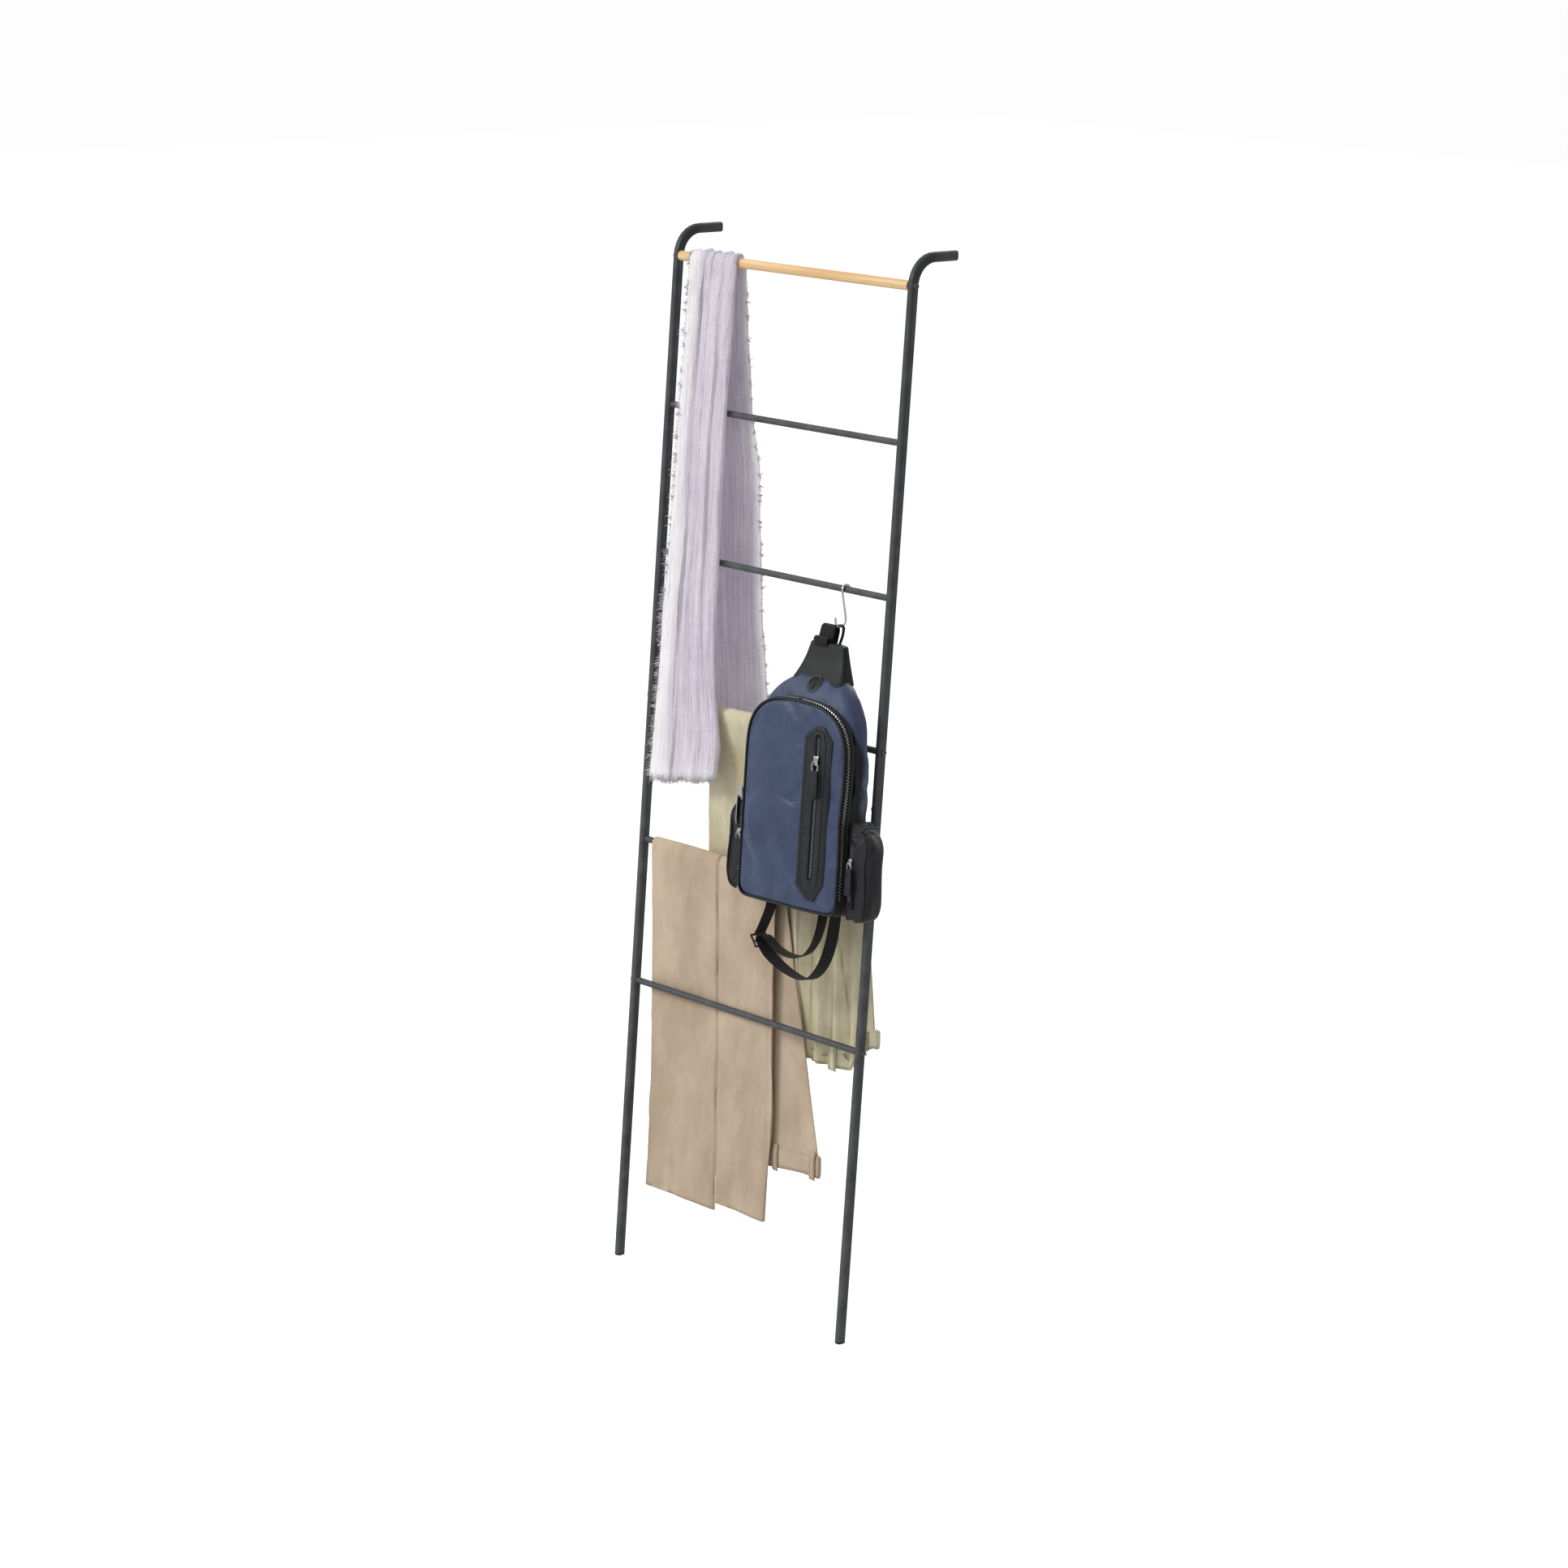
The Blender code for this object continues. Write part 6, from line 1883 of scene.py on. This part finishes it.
def makeBuckle():
    # a rounded sliding frame with a middle bar
    a, b = buckle["long"] / 2, buckle["wide"] / 2
    corners = curveThroughCorners([(a, b), (-a, b), (-a, -b), (a, -b)], 5)
    loop = roundCord("buckleFrame", [(x, 0, y) for x, y in corners], buckle["wire"],
                     finishes["buckle_plastic"], 3, closed=True, count=72)
    rib = roundCord("buckleBar", [(0.0006, 0, y) for y in (-b, 0, b)], buckle["barWire"],
                    finishes["buckle_plastic"], 3, count=14)
    piece = joinPieces("strapBuckle", [loop, rib])
    way = Vector(buckle["way"]).normalized()
    across = Vector((0, 1, 0))
    grid = Matrix((way, way.cross(across), across)).transposed().to_4x4()
    grid.translation = Vector((buckle["place"][0], strapWay["depth"], buckle["place"][1]))
    piece.data.transform(grid)
    faceOut(piece)
    bagPiece(piece, "buckle_plastic", "strap_buckle")


port = {
    "size": (0.0132, 0.0145, 0.0036),
    "place": (0.0008, -0.0405, 0.3195),
    "slope": math.radians(58),
    "insets": ((0.16, 0.0), (0.06, -0.30), (0.10, 0.22), (0.30, 0.10)),
}


def makePort():
    # an oval leather port with a slit and a cross seam, for a cable
    deselectAll()
    bpy.ops.mesh.primitive_cylinder_add(vertices=40, radius=1, depth=1, location=(0, 0, 0))
    oval = bpy.context.object
    oval.name = "cablePort"
    bpy.ops.object.mode_set(mode="EDIT")
    bpy.ops.mesh.select_all(action="DESELECT")
    bpy.ops.object.mode_set(mode="OBJECT")
    for face in oval.data.polygons:
        face.select = face.normal.z > 0.9
    bpy.ops.object.mode_set(mode="EDIT")
    for thickness, depth in port["insets"]:
        bpy.ops.mesh.inset(thickness=thickness, depth=depth)
    bpy.ops.object.mode_set(mode="OBJECT")
    oval.data.transform(Matrix.Diagonal((*port["size"], 1)))
    parts = [oval]
    for turn, reach in ((0.0, 0.0108), (math.pi / 2, 0.0060)):
        tip = [(reach * math.sin(turn), reach * math.cos(turn), 0.0018),
               (0, 0, 0.0024), (-reach * math.sin(turn), -reach * math.cos(turn), 0.0018)]
        parts.append(roundCord("portSeam", tip, 0.0009, finishes["black_leather"], 3, count=16))
    piece = joinPieces("cablePort", parts)
    piece.data.materials.clear()
    piece.data.materials.append(finishes["black_leather"])
    for face in piece.data.polygons:
        face.use_smooth = False
    shadeByAngle(piece, 0.7)
    piece.data.transform(Matrix.Translation(port["place"])
                         @ Matrix.Rotation(port["slope"], 4, "X"))
    bagPiece(piece, "black_leather", "bag_cable_port")


for make in (makeRear, makeFront, makeBodyZip, makeFrontZip, makeBodyPull, makePockets,
             makeTopPatch, makeWebbing, makeStraps, makeBuckle, makePort):
    make()
print("bag ready")
